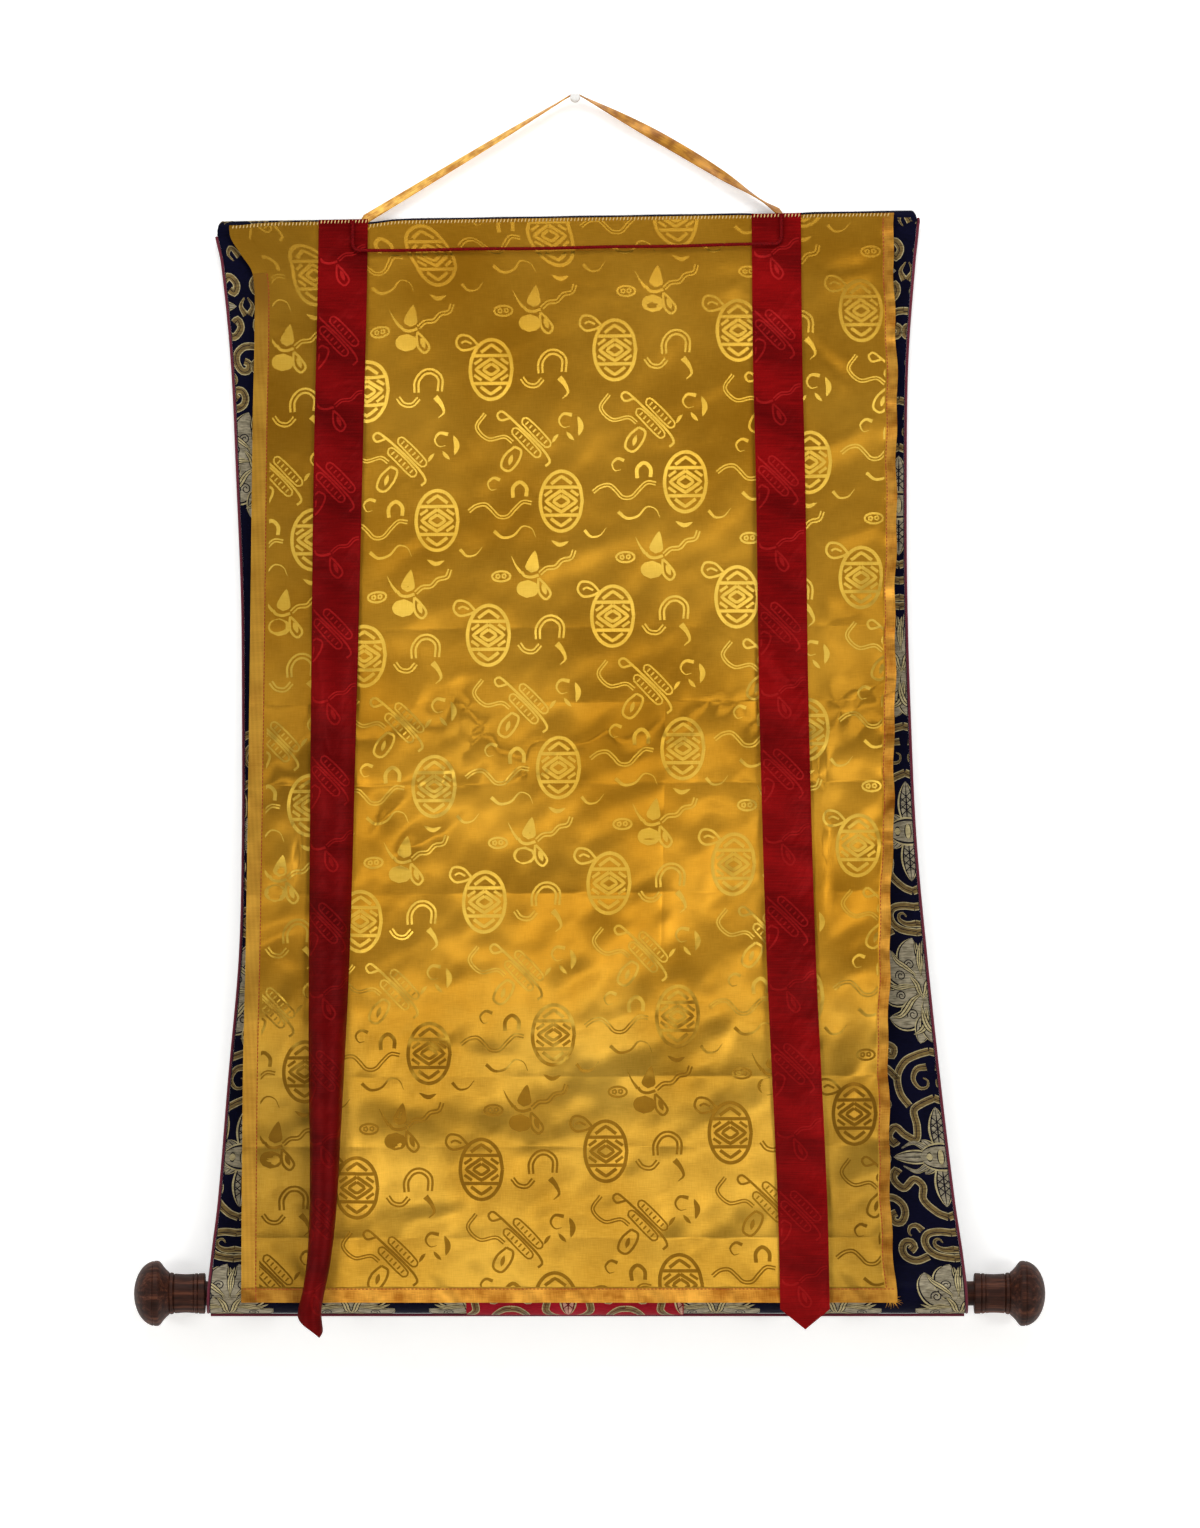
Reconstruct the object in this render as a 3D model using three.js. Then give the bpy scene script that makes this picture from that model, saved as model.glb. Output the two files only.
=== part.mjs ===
// A thangka hanging scroll with its silk veil let down, hung by its loop on a wall pin.
// Millimetres, +Z up, +X to the right as seen from the front, +Y into the wall.
// The origin is the middle of the pin's back face, where it meets the wall (y = 0).
import * as THREE from "three";

// Cloth gauges and the clearance that neighbouring pieces keep
const CLEAR = 0.3;
const MOUNT_THICK = 1.5;
const VEIL_THICK = 1.2;
const VEIL_HEM_THICK = 1.8;
const RIBBON_THICK = 1.2;
const PANEL_THICK = 1.0;

// Wall pin: distance from the wall and radius of its collar, neck and head
const PIN_NECK_R = 2.3;
const PIN_PROFILE = [
  { along: -17, radius: 0 },
  { along: -16.8, radius: 3 },
  { along: -15.6, radius: 4.4 },
  { along: -13.6, radius: 4.4 },
  { along: -12.6, radius: PIN_NECK_R },
  { along: -2.6, radius: PIN_NECK_R },
  { along: -1.8, radius: 4.6 },
  { along: 0, radius: 4.6 },
  { along: 0, radius: 0 },
];

// Mount: its top edge is a padded hem, its foot a sleeve round the dowel
const TOP_Z = -107;
const TOP_SLOPE = 0.0157;
const HEM_Y = -6.5;
const SEAM_Z = -1054;
const MOUNT_COLUMNS_X = [-262, -218, -199, -186, -172, -150, -75, 0, 75, 148, 168, 184, 200, 222, 262];
const BODY_ROWS = 18;
const BODY_CROWD = 1.4;
const EDGE_CURL = 3;
const HALF_WIDTH = 325;
const CORNER_TAPER = 5;
const CORNER_THIN = 0.55;
const SLEEVE_STEPS = 13;
const BACK_SHARE = 0.86;
const HEM_ROLL = [
  { drop: 0, thick: 4 },
  { drop: 1.6, thick: 7.4 },
  { drop: 5, thick: 9 },
  { drop: 9, thick: 7.6 },
  { drop: 12, thick: 3.4 },
  { drop: 15, thick: MOUNT_THICK },
];

// Dowel in the sleeve, with a turned knob plugged into each end
const DOWEL_R = 15.5;
const DOWEL_Y = -31;
const DOWEL_Z = -1078.5;
const DOWEL_INSET = 4;
const SLEEVE_SLACK = 0.7;
const SPIGOT_R = 11;
const SPIGOT_DEPTH = 22;
const KNOB_LENGTH = 64;
const KNOB_START = { left: -332.6, right: 359 };
const ROUND_SEGMENTS = 24;

// Piping along the mount's sides and foot
const PIPING_R = 1.35;
const PIPING_GAP = 0.74;
const PIPING_TOP_Z = { left: -126, right: -109 };
const PIPING_SEAM_GAP = 4;
const PIPING_FOOT_TURN = 196;
const PIPING_POINTS = { body: 26, round: 8, foot: 6 };
const PIPING_STEPS = { side: 48, foot: 10 };
const PIPING_SIDES = 6;
const FOOT_PIPING_TURN = 181;

// Red panel let into the foot of the mount
const PANEL_HALF_WIDTH = 97.5;
const PANEL_TOP_Z = -925;
const PANEL_COLUMNS = 8;
const PANEL_ROWS = { body: 7, round: 9 };
const PANEL_SEAM_GAP = 2;
const PANEL_FOOT_TURN = 172;

// Veil: sewn along the top hem, hanging free in front of the sleeve
const VEIL_TOP_Y = -12.12;
const VEIL_FOOT_Y = -53.4;
const VEIL_FOOT_Z = -1085;
const VEIL_DROP = 2.4;
const VEIL_CORNER_DROP = 2;
const VEIL_CORNER_X = { outer: -305, inner: -272 };
const FOLD_FADE = { top: 0.12, foot: 0.9, footEnd: 0.97 };
const SELVEDGE = 13;
const SIDE_HEM = 12;
const FOOT_HEM = 13;
const HEM_STEP = 0.7;
const VEIL_COLUMNS = 20;
const VEIL_ROWS = 34;

// Ribbons
const RIBBON_WIDTH = 44.5;
const RIBBON_POINT = 18;
const RIBBON_ROWS = 27;
const RIBBON_COLUMNS = { left: 11, right: 7 };
const RIBBON_POINT_ROWS = [0.5, 0.97];
const RIBBON_LEAST_BEND = 0.02;
const RIBBON_BED_SAMPLES = 7;
const RIBBON_GAP = 0.9;
const RIBBON_GAP_RUN = 0.12;

// Veil cord: a bridle sewn over the ribbons, down, across and up again
const CORD_R = 1.6;
const CORD_LEFT_X = -200.5;
const CORD_RIGHT_X = 186;
const CORD_DROP = 27;
const CORD_CORNER = 6;
const CORD_TOP_INSET = 1;
const CORD_RUN_INSET = 30;
const CORD_LIFT = 0.6;
const CORD_POINTS = { leg: 3, corner: 5, run: 9 };
const CORD_SIDES = 8;
const CORD_STEPS = 46;

// Hanging loop: a flat sewn band
const LOOP_THICK = 1.6;
const LOOP_LEFT_X = -192;
const LOOP_RIGHT_X = 186;
const LOOP_PIN_Y = -7.7;
const LOOP_BOW = 4;
const LOOP_LIFT = 0.7;
const LOOP_CROWN_WIDTH = 9;
const LOOP_ROWS = { leg: 19, crown: 5 };
const LOOP_SECTION = [
  { wide: 0.5, thin: 0 },
  { wide: 0.36, thin: 0.5 },
  { wide: -0.36, thin: 0.5 },
  { wide: -0.5, thin: 0 },
  { wide: -0.36, thin: -0.5 },
  { wide: 0.36, thin: -0.5 },
];

// Where the hanging loop's ends draw the top edge down a little
const TOP_DIPS = [
  { at: -186, wide: 17, deep: 2.8 },
  { at: 184, wide: 20, deep: 1.4 },
];

// Side edges of the mount, piping included, at heights below the pin
const OUTLINE = [
  { z: -100, left: -318, right: 301 },
  { z: -104, left: -318, right: 308.5 },
  { z: -111, left: -320.5, right: 311.5 },
  { z: -116, left: -324.5, right: 311 },
  { z: -124, left: -325.5, right: 310.3 },
  { z: -150, left: -320, right: 307.5 },
  { z: -240, left: -311, right: 301 },
  { z: -345, left: -306, right: 299.5 },
  { z: -455, left: -301.5, right: 300 },
  { z: -560, left: -300.5, right: 303 },
  { z: -670, left: -300.5, right: 308 },
  { z: -775, left: -303, right: 317.5 },
  { z: -885, left: -312.5, right: 329 },
  { z: -995, left: -321.5, right: 342 },
  { z: SEAM_Z, left: -328.5, right: 350.5 },
  { z: -1104, left: -331.5, right: 354 },
];

// Side edges of the veil: its upper left corner is pulled out to the hem's end
const VEIL_EDGES = [
  { z: -100, left: -312, right: 289 },
  { z: -120, left: -311, right: 287 },
  { z: -136, left: -301.5, right: 286.5 },
  { z: -154, left: -291, right: 287 },
  { z: -200, left: -289, right: 289 },
  { z: -290, left: -290.5, right: 290 },
  { z: -455, left: -292, right: 288.5 },
  { z: -640, left: -294, right: 286.5 },
  { z: -780, left: -296, right: 282.5 },
  { z: -890, left: -298, right: 281.5 },
  { z: -1045, left: -299, right: 285 },
  { z: VEIL_FOOT_Z, left: -299, right: 289 },
];

// Soft ridges (+) and troughs (-) of the veil: middle, half length, half width, lean and height
const VEIL_FOLDS = [
  { x: -150, z: -300, half: 140, wide: 50, lean: 12, height: 1.6 },
  { x: 170, z: -250, half: 120, wide: 55, lean: -20, height: 1.8 },
  { x: -60, z: -430, half: 210, wide: 48, lean: 8, height: -1.1 },
  { x: 190, z: -470, half: 110, wide: 60, lean: 35, height: 1.4 },
  { x: -120, z: -560, half: 160, wide: 46, lean: 10, height: 1.1 },
  { x: 120, z: -640, half: 190, wide: 52, lean: 22, height: 1.5 },
  { x: -170, z: -690, half: 150, wide: 48, lean: -6, height: -1.4 },
  { x: 60, z: -765, half: 210, wide: 44, lean: 20, height: -3.0 },
  { x: -90, z: -800, half: 200, wide: 46, lean: 14, height: 3.2 },
  { x: 200, z: -830, half: 110, wide: 50, lean: 50, height: 3.4 },
  { x: -20, z: -880, half: 240, wide: 40, lean: 10, height: -3.0 },
  { x: 20, z: -945, half: 230, wide: 42, lean: 12, height: 3.4 },
  { x: -150, z: -1000, half: 130, wide: 40, lean: 2, height: -2.4 },
  { x: 190, z: -985, half: 110, wide: 46, lean: 38, height: -2.6 },
];

// How each ribbon hangs: its middle line, how far it rolls into a tube, and how far the tube turns
const LEFT_RIBBON = [
  { z: -111, x: -209, curl: 0, turn: 0 },
  { z: -183, x: -210, curl: 10, turn: 0 },
  { z: -345, x: -213.5, curl: 42, turn: 0 },
  { z: -560, x: -217, curl: 90, turn: 0 },
  { z: -775, x: -220.5, curl: 131, turn: 4 },
  { z: -885, x: -223, curl: 172, turn: 8 },
  { z: -993, x: -225, curl: 222, turn: 16 },
  { z: -1047, x: -229, curl: 256, turn: 26 },
  { z: -1076, x: -234, curl: 276, turn: 34 },
  { z: -1092, x: -237, curl: 262, turn: 40 },
  { z: -1115, x: -235.5, curl: 236, turn: 44 },
];
const RIGHT_RIBBON = [
  { z: -105.5, x: 181.5, curl: 0, turn: 0 },
  { z: -237, x: 182.5, curl: 8, turn: 0 },
  { z: -345, x: 185, curl: 14, turn: 2 },
  { z: -560, x: 188, curl: 18, turn: 3 },
  { z: -775, x: 194, curl: 22, turn: 4 },
  { z: -885, x: 199, curl: 14, turn: 2 },
  { z: -993, x: 204, curl: 18, turn: -3 },
  { z: -1109, x: 206.5, curl: 22, turn: -4 },
];

// Half of the hanging loop from end to pin: share of the leg, how far the band faces away, its width
const LOOP_LEFT = [
  { share: 0, face: 14, width: 8.6 },
  { share: 0.3, face: 34, width: 8.8 },
  { share: 0.7, face: 56, width: 9 },
  { share: 1, face: 90, width: 9 },
];
const LOOP_RIGHT = [
  { share: 0, face: 40, width: 9 },
  { share: 0.1, face: 82, width: 10 },
  { share: 0.3, face: 30, width: 10.5 },
  { share: 0.55, face: 4, width: 10.5 },
  { share: 0.8, face: 45, width: 10 },
  { share: 1, face: 90, width: 9 },
];

// Knob profile from the cloth outwards: distance along the axis and radius
const KNOB_PROFILE = [
  { along: 0, radius: 17.6 },
  { along: 0.8, radius: 18.3 },
  { along: 5.4, radius: 18.2 },
  { along: 6.1, radius: 17.1 },
  { along: 6.8, radius: 18.1 },
  { along: 9.2, radius: 18.0 },
  { along: 9.9, radius: 16.9 },
  { along: 10.6, radius: 17.7 },
  { along: 18, radius: 17.3 },
  { along: 27, radius: 17.9 },
  { along: 27.8, radius: 16.8 },
  { along: 28.6, radius: 18.6 },
  { along: 31, radius: 18.9 },
  { along: 31.7, radius: 18.0 },
  { along: 32.4, radius: 19.2 },
  { along: 37, radius: 23.6 },
  { along: 40.4, radius: 28.3 },
  { along: 42.6, radius: 29.3 },
  { along: 45.6, radius: 29.3 },
  { along: 46.2, radius: 28.5 },
  { along: 46.8, radius: 29.1 },
];
const KNOB_DOME = { start: 46.8, middle: 44, steps: 7 };
const DOME_REACH = KNOB_LENGTH - KNOB_DOME.middle;

// A smooth curve through a table's rows, read by one of its columns
function curveThrough(rows, at, value) {
  const slope = rows.map((row, i) => {
    const before = rows[Math.max(0, i - 1)];
    const after = rows[Math.min(rows.length - 1, i + 1)];
    return (after[value] - before[value]) / (after[at] - before[at]);
  });
  const falling = rows[0][at] > rows[rows.length - 1][at];
  return (where) => {
    const past = rows.findIndex((row) => (falling ? row[at] <= where : row[at] >= where));
    const b = Math.max(1, past < 0 ? rows.length - 1 : past);
    const [low, high] = [rows[b - 1], rows[b]];
    const span = high[at] - low[at];
    const t = THREE.MathUtils.clamp((where - low[at]) / span, 0, 1);
    const [t2, t3] = [t * t, t * t * t];
    return (
      low[value] * (2 * t3 - 3 * t2 + 1) +
      high[value] * (3 * t2 - 2 * t3) +
      slope[b - 1] * span * (t3 - 2 * t2 + t) +
      slope[b] * span * (t3 - t2)
    );
  };
}

// A geometry from points and triangles, turned to face outwards
function closedGeometry(points, triangles) {
  let volume = 0;
  for (const [a, b, c] of triangles) {
    volume += points[a].dot(new THREE.Vector3().crossVectors(points[b], points[c]));
  }
  const faces = volume < 0 ? triangles.map(([a, b, c]) => [a, c, b]) : triangles;
  return new THREE.BufferGeometry().setFromPoints(points).setIndex(faces.flat());
}

// A sheet of cloth round a grid of middle points: rows run down, columns run to the right
function sheetGeometry(grid, thickness) {
  const rows = grid.length;
  const columns = grid[0].length;
  const at = (i, j) =>
    grid[THREE.MathUtils.clamp(i, 0, rows - 1)][THREE.MathUtils.clamp(j, 0, columns - 1)];
  const front = [];
  const back = [];
  for (let i = 0; i < rows; i++) {
    for (let j = 0; j < columns; j++) {
      const across = at(i, j + 1).clone().sub(at(i, j - 1));
      const up = at(i - 1, j).clone().sub(at(i + 1, j));
      const offset = across.cross(up).setLength(thickness(i, j) / 2);
      front.push(at(i, j).clone().add(offset));
      back.push(at(i, j).clone().sub(offset));
    }
  }
  const half = rows * columns;
  const triangles = [];
  for (let i = 0; i < rows - 1; i++) {
    for (let j = 0; j < columns - 1; j++) {
      const a = i * columns + j;
      const [b, c, d] = [a + columns, a + columns + 1, a + 1];
      triangles.push([a, b, c], [a, c, d]);
      triangles.push([half + a, half + c, half + b], [half + a, half + d, half + c]);
    }
  }
  const rim = [];
  for (let j = 0; j < columns - 1; j++) rim.push(j);
  for (let i = 0; i < rows - 1; i++) rim.push(i * columns + columns - 1);
  for (let j = columns - 1; j > 0; j--) rim.push((rows - 1) * columns + j);
  for (let i = rows - 1; i > 0; i--) rim.push(i * columns);
  rim.forEach((a, k) => {
    const b = rim[(k + 1) % rim.length];
    triangles.push([a, b, half + b], [a, half + b, half + a]);
  });
  return closedGeometry([...front, ...back], triangles);
}

// A solid through a row of like rings, with flat ends
function loftGeometry(rings) {
  const sides = rings[0].length;
  const triangles = [];
  for (let i = 0; i < rings.length - 1; i++) {
    for (let j = 0; j < sides; j++) {
      const [a, b] = [i * sides + j, i * sides + ((j + 1) % sides)];
      triangles.push([a, b, b + sides], [a, b + sides, a + sides]);
    }
  }
  const last = (rings.length - 1) * sides;
  for (let j = 1; j < sides - 1; j++) {
    triangles.push([0, j + 1, j], [last, last + j, last + j + 1]);
  }
  return closedGeometry(rings.flat(), triangles);
}

// A round tube along a path of points
function tubeGeometry(points, radius, sides, steps) {
  const section = [];
  for (let k = 0; k < sides; k++) {
    const angle = (2 * Math.PI * k) / sides;
    section.push(new THREE.Vector2(radius * Math.cos(angle), radius * Math.sin(angle)));
  }
  const extrudePath = new THREE.CatmullRomCurve3(points, false, "centripetal");
  const settings = { steps, extrudePath, bevelEnabled: false };
  return new THREE.ExtrudeGeometry(new THREE.Shape(section), settings);
}

// A turned solid about the X axis, from rows of distance along the axis and radius
function turnedGeometry(profile) {
  const points = profile.map(({ along, radius }) => new THREE.Vector2(radius, along));
  return new THREE.LatheGeometry(points, ROUND_SEGMENTS).rotateZ(-Math.PI / 2);
}

const finish = (color, roughness) => new THREE.MeshStandardMaterial({ color, roughness, metalness: 0 });
const FINISHES = {
  brocade: finish("#10112c", 0.6),
  redBrocade: finish("#9c1420", 0.6),
  piping: finish("#5c1024", 0.7),
  veil: finish("#b98a1c", 0.4),
  ribbon: finish("#8a1014", 0.45),
  cord: finish("#5e0f16", 0.7),
  loop: finish("#cc8f26", 0.45),
  rosewood: finish("#4b2d25", 0.4),
  rod: finish("#b3a28c", 0.7),
  pin: finish("#f1efec", 0.4),
};

function piece(name, geometry, material) {
  const mesh = new THREE.Mesh(geometry, material);
  mesh.name = name;
  return mesh;
}

const range = (count, value) => Array.from({ length: count }, (_, i) => value(i / (count - 1), i));
const { lerp, smoothstep, degToRad } = THREE.MathUtils;

// Surfaces that several pieces share
const outlineLeft = curveThrough(OUTLINE, "z", "left");
const outlineRight = curveThrough(OUTLINE, "z", "right");
const veilLeft = curveThrough(VEIL_EDGES, "z", "left");
const veilRight = curveThrough(VEIL_EDGES, "z", "right");
const bump = (x, { at, wide, deep }) => deep * Math.exp(-Math.pow((x - at) / wide, 2));
const topZ = (x) => TOP_Z + TOP_SLOPE * x - TOP_DIPS.reduce((sum, dip) => sum + bump(x, dip), 0);
const cornerDrop = (x) => VEIL_CORNER_DROP * (1 - smoothstep(x, VEIL_CORNER_X.outer, VEIL_CORNER_X.inner));
const veilTopZ = (x) => topZ(x) - VEIL_DROP - cornerDrop(x);
const PIPING_ROOM = 2 * PIPING_R + PIPING_GAP;

// Depth of the mount's middle plane between its hem and its sleeve
function mountDepth(x, z) {
  const fall = THREE.MathUtils.clamp((topZ(x) - z) / (topZ(x) - SEAM_Z), 0, 1);
  const side = Math.pow(Math.abs(x) / HALF_WIDTH, 4);
  return lerp(HEM_Y, DOWEL_Y, fall) + EDGE_CURL * side * Math.sin(Math.PI * fall);
}

// Depth of the veil's middle plane, folds included; the folds die out at its sewn top and at the sleeve
function veilDepth(x, z) {
  const fall = (topZ(x) - z) / (topZ(x) - VEIL_FOOT_Z);
  let forward = 0;
  for (const fold of VEIL_FOLDS) {
    const lean = degToRad(fold.lean);
    const [dx, dz] = [x - fold.x, z - fold.z];
    const along = (dx * Math.cos(lean) + dz * Math.sin(lean)) / fold.half;
    const across = (dz * Math.cos(lean) - dx * Math.sin(lean)) / fold.wide;
    forward += fold.height * Math.exp(-along * along - across * across);
  }
  const fade = smoothstep(fall, 0, FOLD_FADE.top) * (1 - smoothstep(fall, FOLD_FADE.foot, FOLD_FADE.footEnd));
  return lerp(VEIL_TOP_Y, VEIL_FOOT_Y, fall) - forward * fade;
}

// Stations down the mount's section: padded hem, hanging body, then once round the dowel
const SLEEVE_R = DOWEL_R + SLEEVE_SLACK + MOUNT_THICK / 2;
const SEAM_RISE = SEAM_Z - DOWEL_Z;
const TANGENT = Math.acos(SLEEVE_R / SEAM_RISE);
const onSleeve = (angle, radius = SLEEVE_R) => ({
  y: DOWEL_Y - radius * Math.sin(angle),
  z: DOWEL_Z + radius * Math.cos(angle),
});

function mountStations() {
  const hem = HEM_ROLL.map(({ drop, thick }) => ({ drop, thick }));
  const body = range(BODY_ROWS, (share) => ({
    share: Math.pow(share, BODY_CROWD),
    thick: MOUNT_THICK,
  })).slice(1);
  const around = range(SLEEVE_STEPS, (share) => ({
    ...onSleeve(lerp(TANGENT, 2 * Math.PI - TANGENT, share)),
    thick: MOUNT_THICK,
  }));
  const end = around[around.length - 1];
  const back = {
    y: lerp(end.y, DOWEL_Y, BACK_SHARE),
    z: lerp(end.z, SEAM_Z, BACK_SHARE),
    thick: MOUNT_THICK,
  };
  return [...hem, ...body, ...around, back];
}

// A point of the mount at a share of its width and one of its stations
function mountPoint(share, station) {
  const hemX = lerp(outlineLeft(TOP_Z), outlineRight(TOP_Z), share);
  const bodyTop = topZ(hemX) - HEM_ROLL[HEM_ROLL.length - 1].drop;
  let z = station.z;
  if (station.drop !== undefined) z = topZ(hemX) - station.drop;
  if (station.share !== undefined) z = lerp(bodyTop, SEAM_Z, station.share);
  const edgeZ = station.y === undefined ? z : Math.min(z, SEAM_Z);
  const x = lerp(outlineLeft(edgeZ) + PIPING_ROOM, outlineRight(edgeZ) - PIPING_ROOM, share);
  return new THREE.Vector3(x, station.y ?? mountDepth(x, z), z);
}

function makeMount() {
  const stations = mountStations();
  const taper = CORNER_TAPER / (2 * HALF_WIDTH);
  const [left, right] = [outlineLeft(TOP_Z), outlineRight(TOP_Z)];
  const inner = MOUNT_COLUMNS_X.map((x) => (x - left) / (right - left));
  const shares = [0, taper, ...inner, 1 - taper, 1];
  const grid = stations.map((station) => shares.map((share) => mountPoint(share, station)));
  const thickness = (i, j) => {
    const atEnd = j === 0 || j === shares.length - 1;
    return atEnd ? Math.max(MOUNT_THICK, stations[i].thick * CORNER_THIN) : stations[i].thick;
  };
  return piece("mount_brocade", sheetGeometry(grid, thickness), FINISHES.brocade);
}

// The red panel lies on the mount's face and rounds the front of the sleeve with it
function makePanel() {
  const off = MOUNT_THICK / 2 + 2 * CLEAR + PANEL_THICK / 2;
  const rows = range(PANEL_ROWS.body, (share) => lerp(PANEL_TOP_Z, SEAM_Z + PANEL_SEAM_GAP, share)).map(
    (z) => (x) => ({ y: mountDepth(x, z) - off, z }),
  );
  const around = range(PANEL_ROWS.round, (share) => lerp(TANGENT, degToRad(PANEL_FOOT_TURN), share));
  const arc = around.map((angle) => () => onSleeve(angle, SLEEVE_R + off));
  const grid = [...rows, ...arc].map((row) =>
    range(PANEL_COLUMNS, (share) => {
      const x = lerp(-PANEL_HALF_WIDTH, PANEL_HALF_WIDTH, share);
      const { y, z } = row(x);
      return new THREE.Vector3(x, y, z);
    }),
  );
  return piece("door_panel", sheetGeometry(grid, () => PANEL_THICK), FINISHES.redBrocade);
}

// Piping down one side edge and round the end of the sleeve to its foot
function makeSidePiping(side) {
  const edge = side === "left" ? outlineLeft : outlineRight;
  const inward = side === "left" ? PIPING_R : -PIPING_R;
  const points = range(PIPING_POINTS.body, (share) => {
    const z = lerp(PIPING_TOP_Z[side], SEAM_Z + PIPING_SEAM_GAP, Math.pow(share, BODY_CROWD));
    return new THREE.Vector3(edge(z) + inward, mountDepth(edge(z), z), z);
  });
  for (const share of range(PIPING_POINTS.round, (along) => along)) {
    const { y, z } = onSleeve(lerp(TANGENT, degToRad(PIPING_FOOT_TURN), share));
    points.push(new THREE.Vector3(edge(Math.min(z, SEAM_Z)) + inward, y, z));
  }
  const geometry = tubeGeometry(points, PIPING_R, PIPING_SIDES, PIPING_STEPS.side);
  return piece("piping_" + side, geometry, FINISHES.piping);
}

// Piping along the underside of the sleeve
function makeFootPiping() {
  const radius = SLEEVE_R + MOUNT_THICK / 2 + CLEAR + PIPING_R;
  const { y, z } = onSleeve(degToRad(FOOT_PIPING_TURN), radius);
  const ends = [outlineLeft(z) + PIPING_ROOM, outlineRight(z) - PIPING_ROOM];
  const along = (share) => new THREE.Vector3(lerp(ends[0], ends[1], share), y, z);
  const points = range(PIPING_POINTS.foot, along);
  const geometry = tubeGeometry(points, PIPING_R, PIPING_SIDES, PIPING_STEPS.foot);
  return piece("piping_foot", geometry, FINISHES.piping);
}

// The dowel, bored at each end for a knob's spigot
function makeDowel() {
  const start = outlineLeft(DOWEL_Z) + DOWEL_INSET;
  const end = outlineRight(DOWEL_Z) - DOWEL_INSET;
  const bore = SPIGOT_R + CLEAR;
  const geometry = turnedGeometry([
    { along: start + SPIGOT_DEPTH, radius: 0 },
    { along: start + SPIGOT_DEPTH, radius: bore },
    { along: start, radius: bore },
    { along: start, radius: DOWEL_R },
    { along: end, radius: DOWEL_R },
    { along: end, radius: bore },
    { along: end - SPIGOT_DEPTH, radius: bore },
    { along: end - SPIGOT_DEPTH, radius: 0 },
  ]);
  const dowel = piece("dowel", geometry, FINISHES.rod);
  dowel.position.set(0, DOWEL_Y, DOWEL_Z);
  return dowel;
}

// A knob turned with its spigot; the left one is the right one turned about
function makeKnob(side) {
  const dowelEnd =
    side === "left" ? outlineLeft(DOWEL_Z) + DOWEL_INSET : outlineRight(DOWEL_Z) - DOWEL_INSET;
  const start = KNOB_START[side];
  const spigot = SPIGOT_DEPTH - CLEAR + Math.abs(start - dowelEnd);
  const rim = KNOB_PROFILE[KNOB_PROFILE.length - 1].radius;
  const bulge = rim / Math.sqrt(1 - Math.pow((KNOB_DOME.start - KNOB_DOME.middle) / DOME_REACH, 2));
  const dome = range(KNOB_DOME.steps + 1, (share) => {
    const along = KNOB_LENGTH - (KNOB_LENGTH - KNOB_DOME.start) * Math.pow(1 - share, 2);
    const reach = Math.min(1, (along - KNOB_DOME.middle) / DOME_REACH);
    return { along, radius: share === 1 ? 0 : bulge * Math.sqrt(1 - reach * reach) };
  }).slice(1);
  const geometry = turnedGeometry([
    { along: -spigot, radius: 0 },
    { along: -spigot, radius: SPIGOT_R },
    { along: 0, radius: SPIGOT_R },
    ...KNOB_PROFILE,
    ...dome,
  ]);
  const knob = piece("knob_" + side, geometry, FINISHES.rosewood);
  knob.position.set(start, DOWEL_Y, DOWEL_Z);
  if (side === "left") knob.rotation.z = Math.PI;
  return knob;
}

// The veil: selvedge at its left edge, folded hems at its right edge and foot
function makeVeil() {
  const columns = (width) => {
    const hemStart = width - SIDE_HEM;
    const inner = range(VEIL_COLUMNS, (share) => lerp(SELVEDGE, hemStart - HEM_STEP, share));
    return [0, ...inner, hemStart, width];
  };
  const rows = range(VEIL_ROWS, (share) => (top) => lerp(top, VEIL_FOOT_Z + FOOT_HEM + HEM_STEP, share));
  const levels = [...rows, () => VEIL_FOOT_Z + FOOT_HEM, () => VEIL_FOOT_Z];
  const grid = levels.map((level) => {
    const middle = level(veilTopZ(0));
    const left = veilLeft(middle);
    return columns(veilRight(middle) - left).map((offset) => {
      const x = left + offset;
      const z = level(veilTopZ(x));
      return new THREE.Vector3(x, veilDepth(x, z), z);
    });
  });
  const lastColumn = grid[0].length - 1;
  const inHem = (i, j) => i >= levels.length - 2 || j >= lastColumn - 1;
  const thickness = (i, j) => (inHem(i, j) ? VEIL_HEM_THICK : VEIL_THICK);
  return piece("veil", sheetGeometry(grid, thickness), FINISHES.veil);
}

// A ribbon's section is an arc, from flat to nearly a closed tube, that lies on the veil with its edges
function ribbonRow(z, x, curl, turn, columns, gap) {
  const bend = Math.max(degToRad(curl), RIBBON_LEAST_BEND);
  const radius = RIBBON_WIDTH / bend;
  const arc = range(columns, (share) => {
    const angle = (share - 0.5) * bend;
    const [across, forward] = [radius * Math.sin(angle), radius * (Math.cos(angle) - 1)];
    const [c, s] = [Math.cos(degToRad(turn)), Math.sin(degToRad(turn))];
    return { across: across * c + forward * s, forward: forward * c - across * s, share };
  });
  const lowest = Math.min(...arc.map((point) => point.forward));
  const middle = (Math.min(...arc.map((p) => p.across)) + Math.max(...arc.map((p) => p.across))) / 2;
  const under = (share) => veilDepth(x + (share - 0.5) * RIBBON_WIDTH, z);
  const bed = Math.min(...range(RIBBON_BED_SAMPLES, under));
  const seat = bed - VEIL_THICK / 2 - gap - RIBBON_THICK / 2;
  return arc.map(({ across, forward, share }) => ({
    point: new THREE.Vector3(x + across - middle, seat - (forward - lowest), z),
    share,
  }));
}

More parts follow.
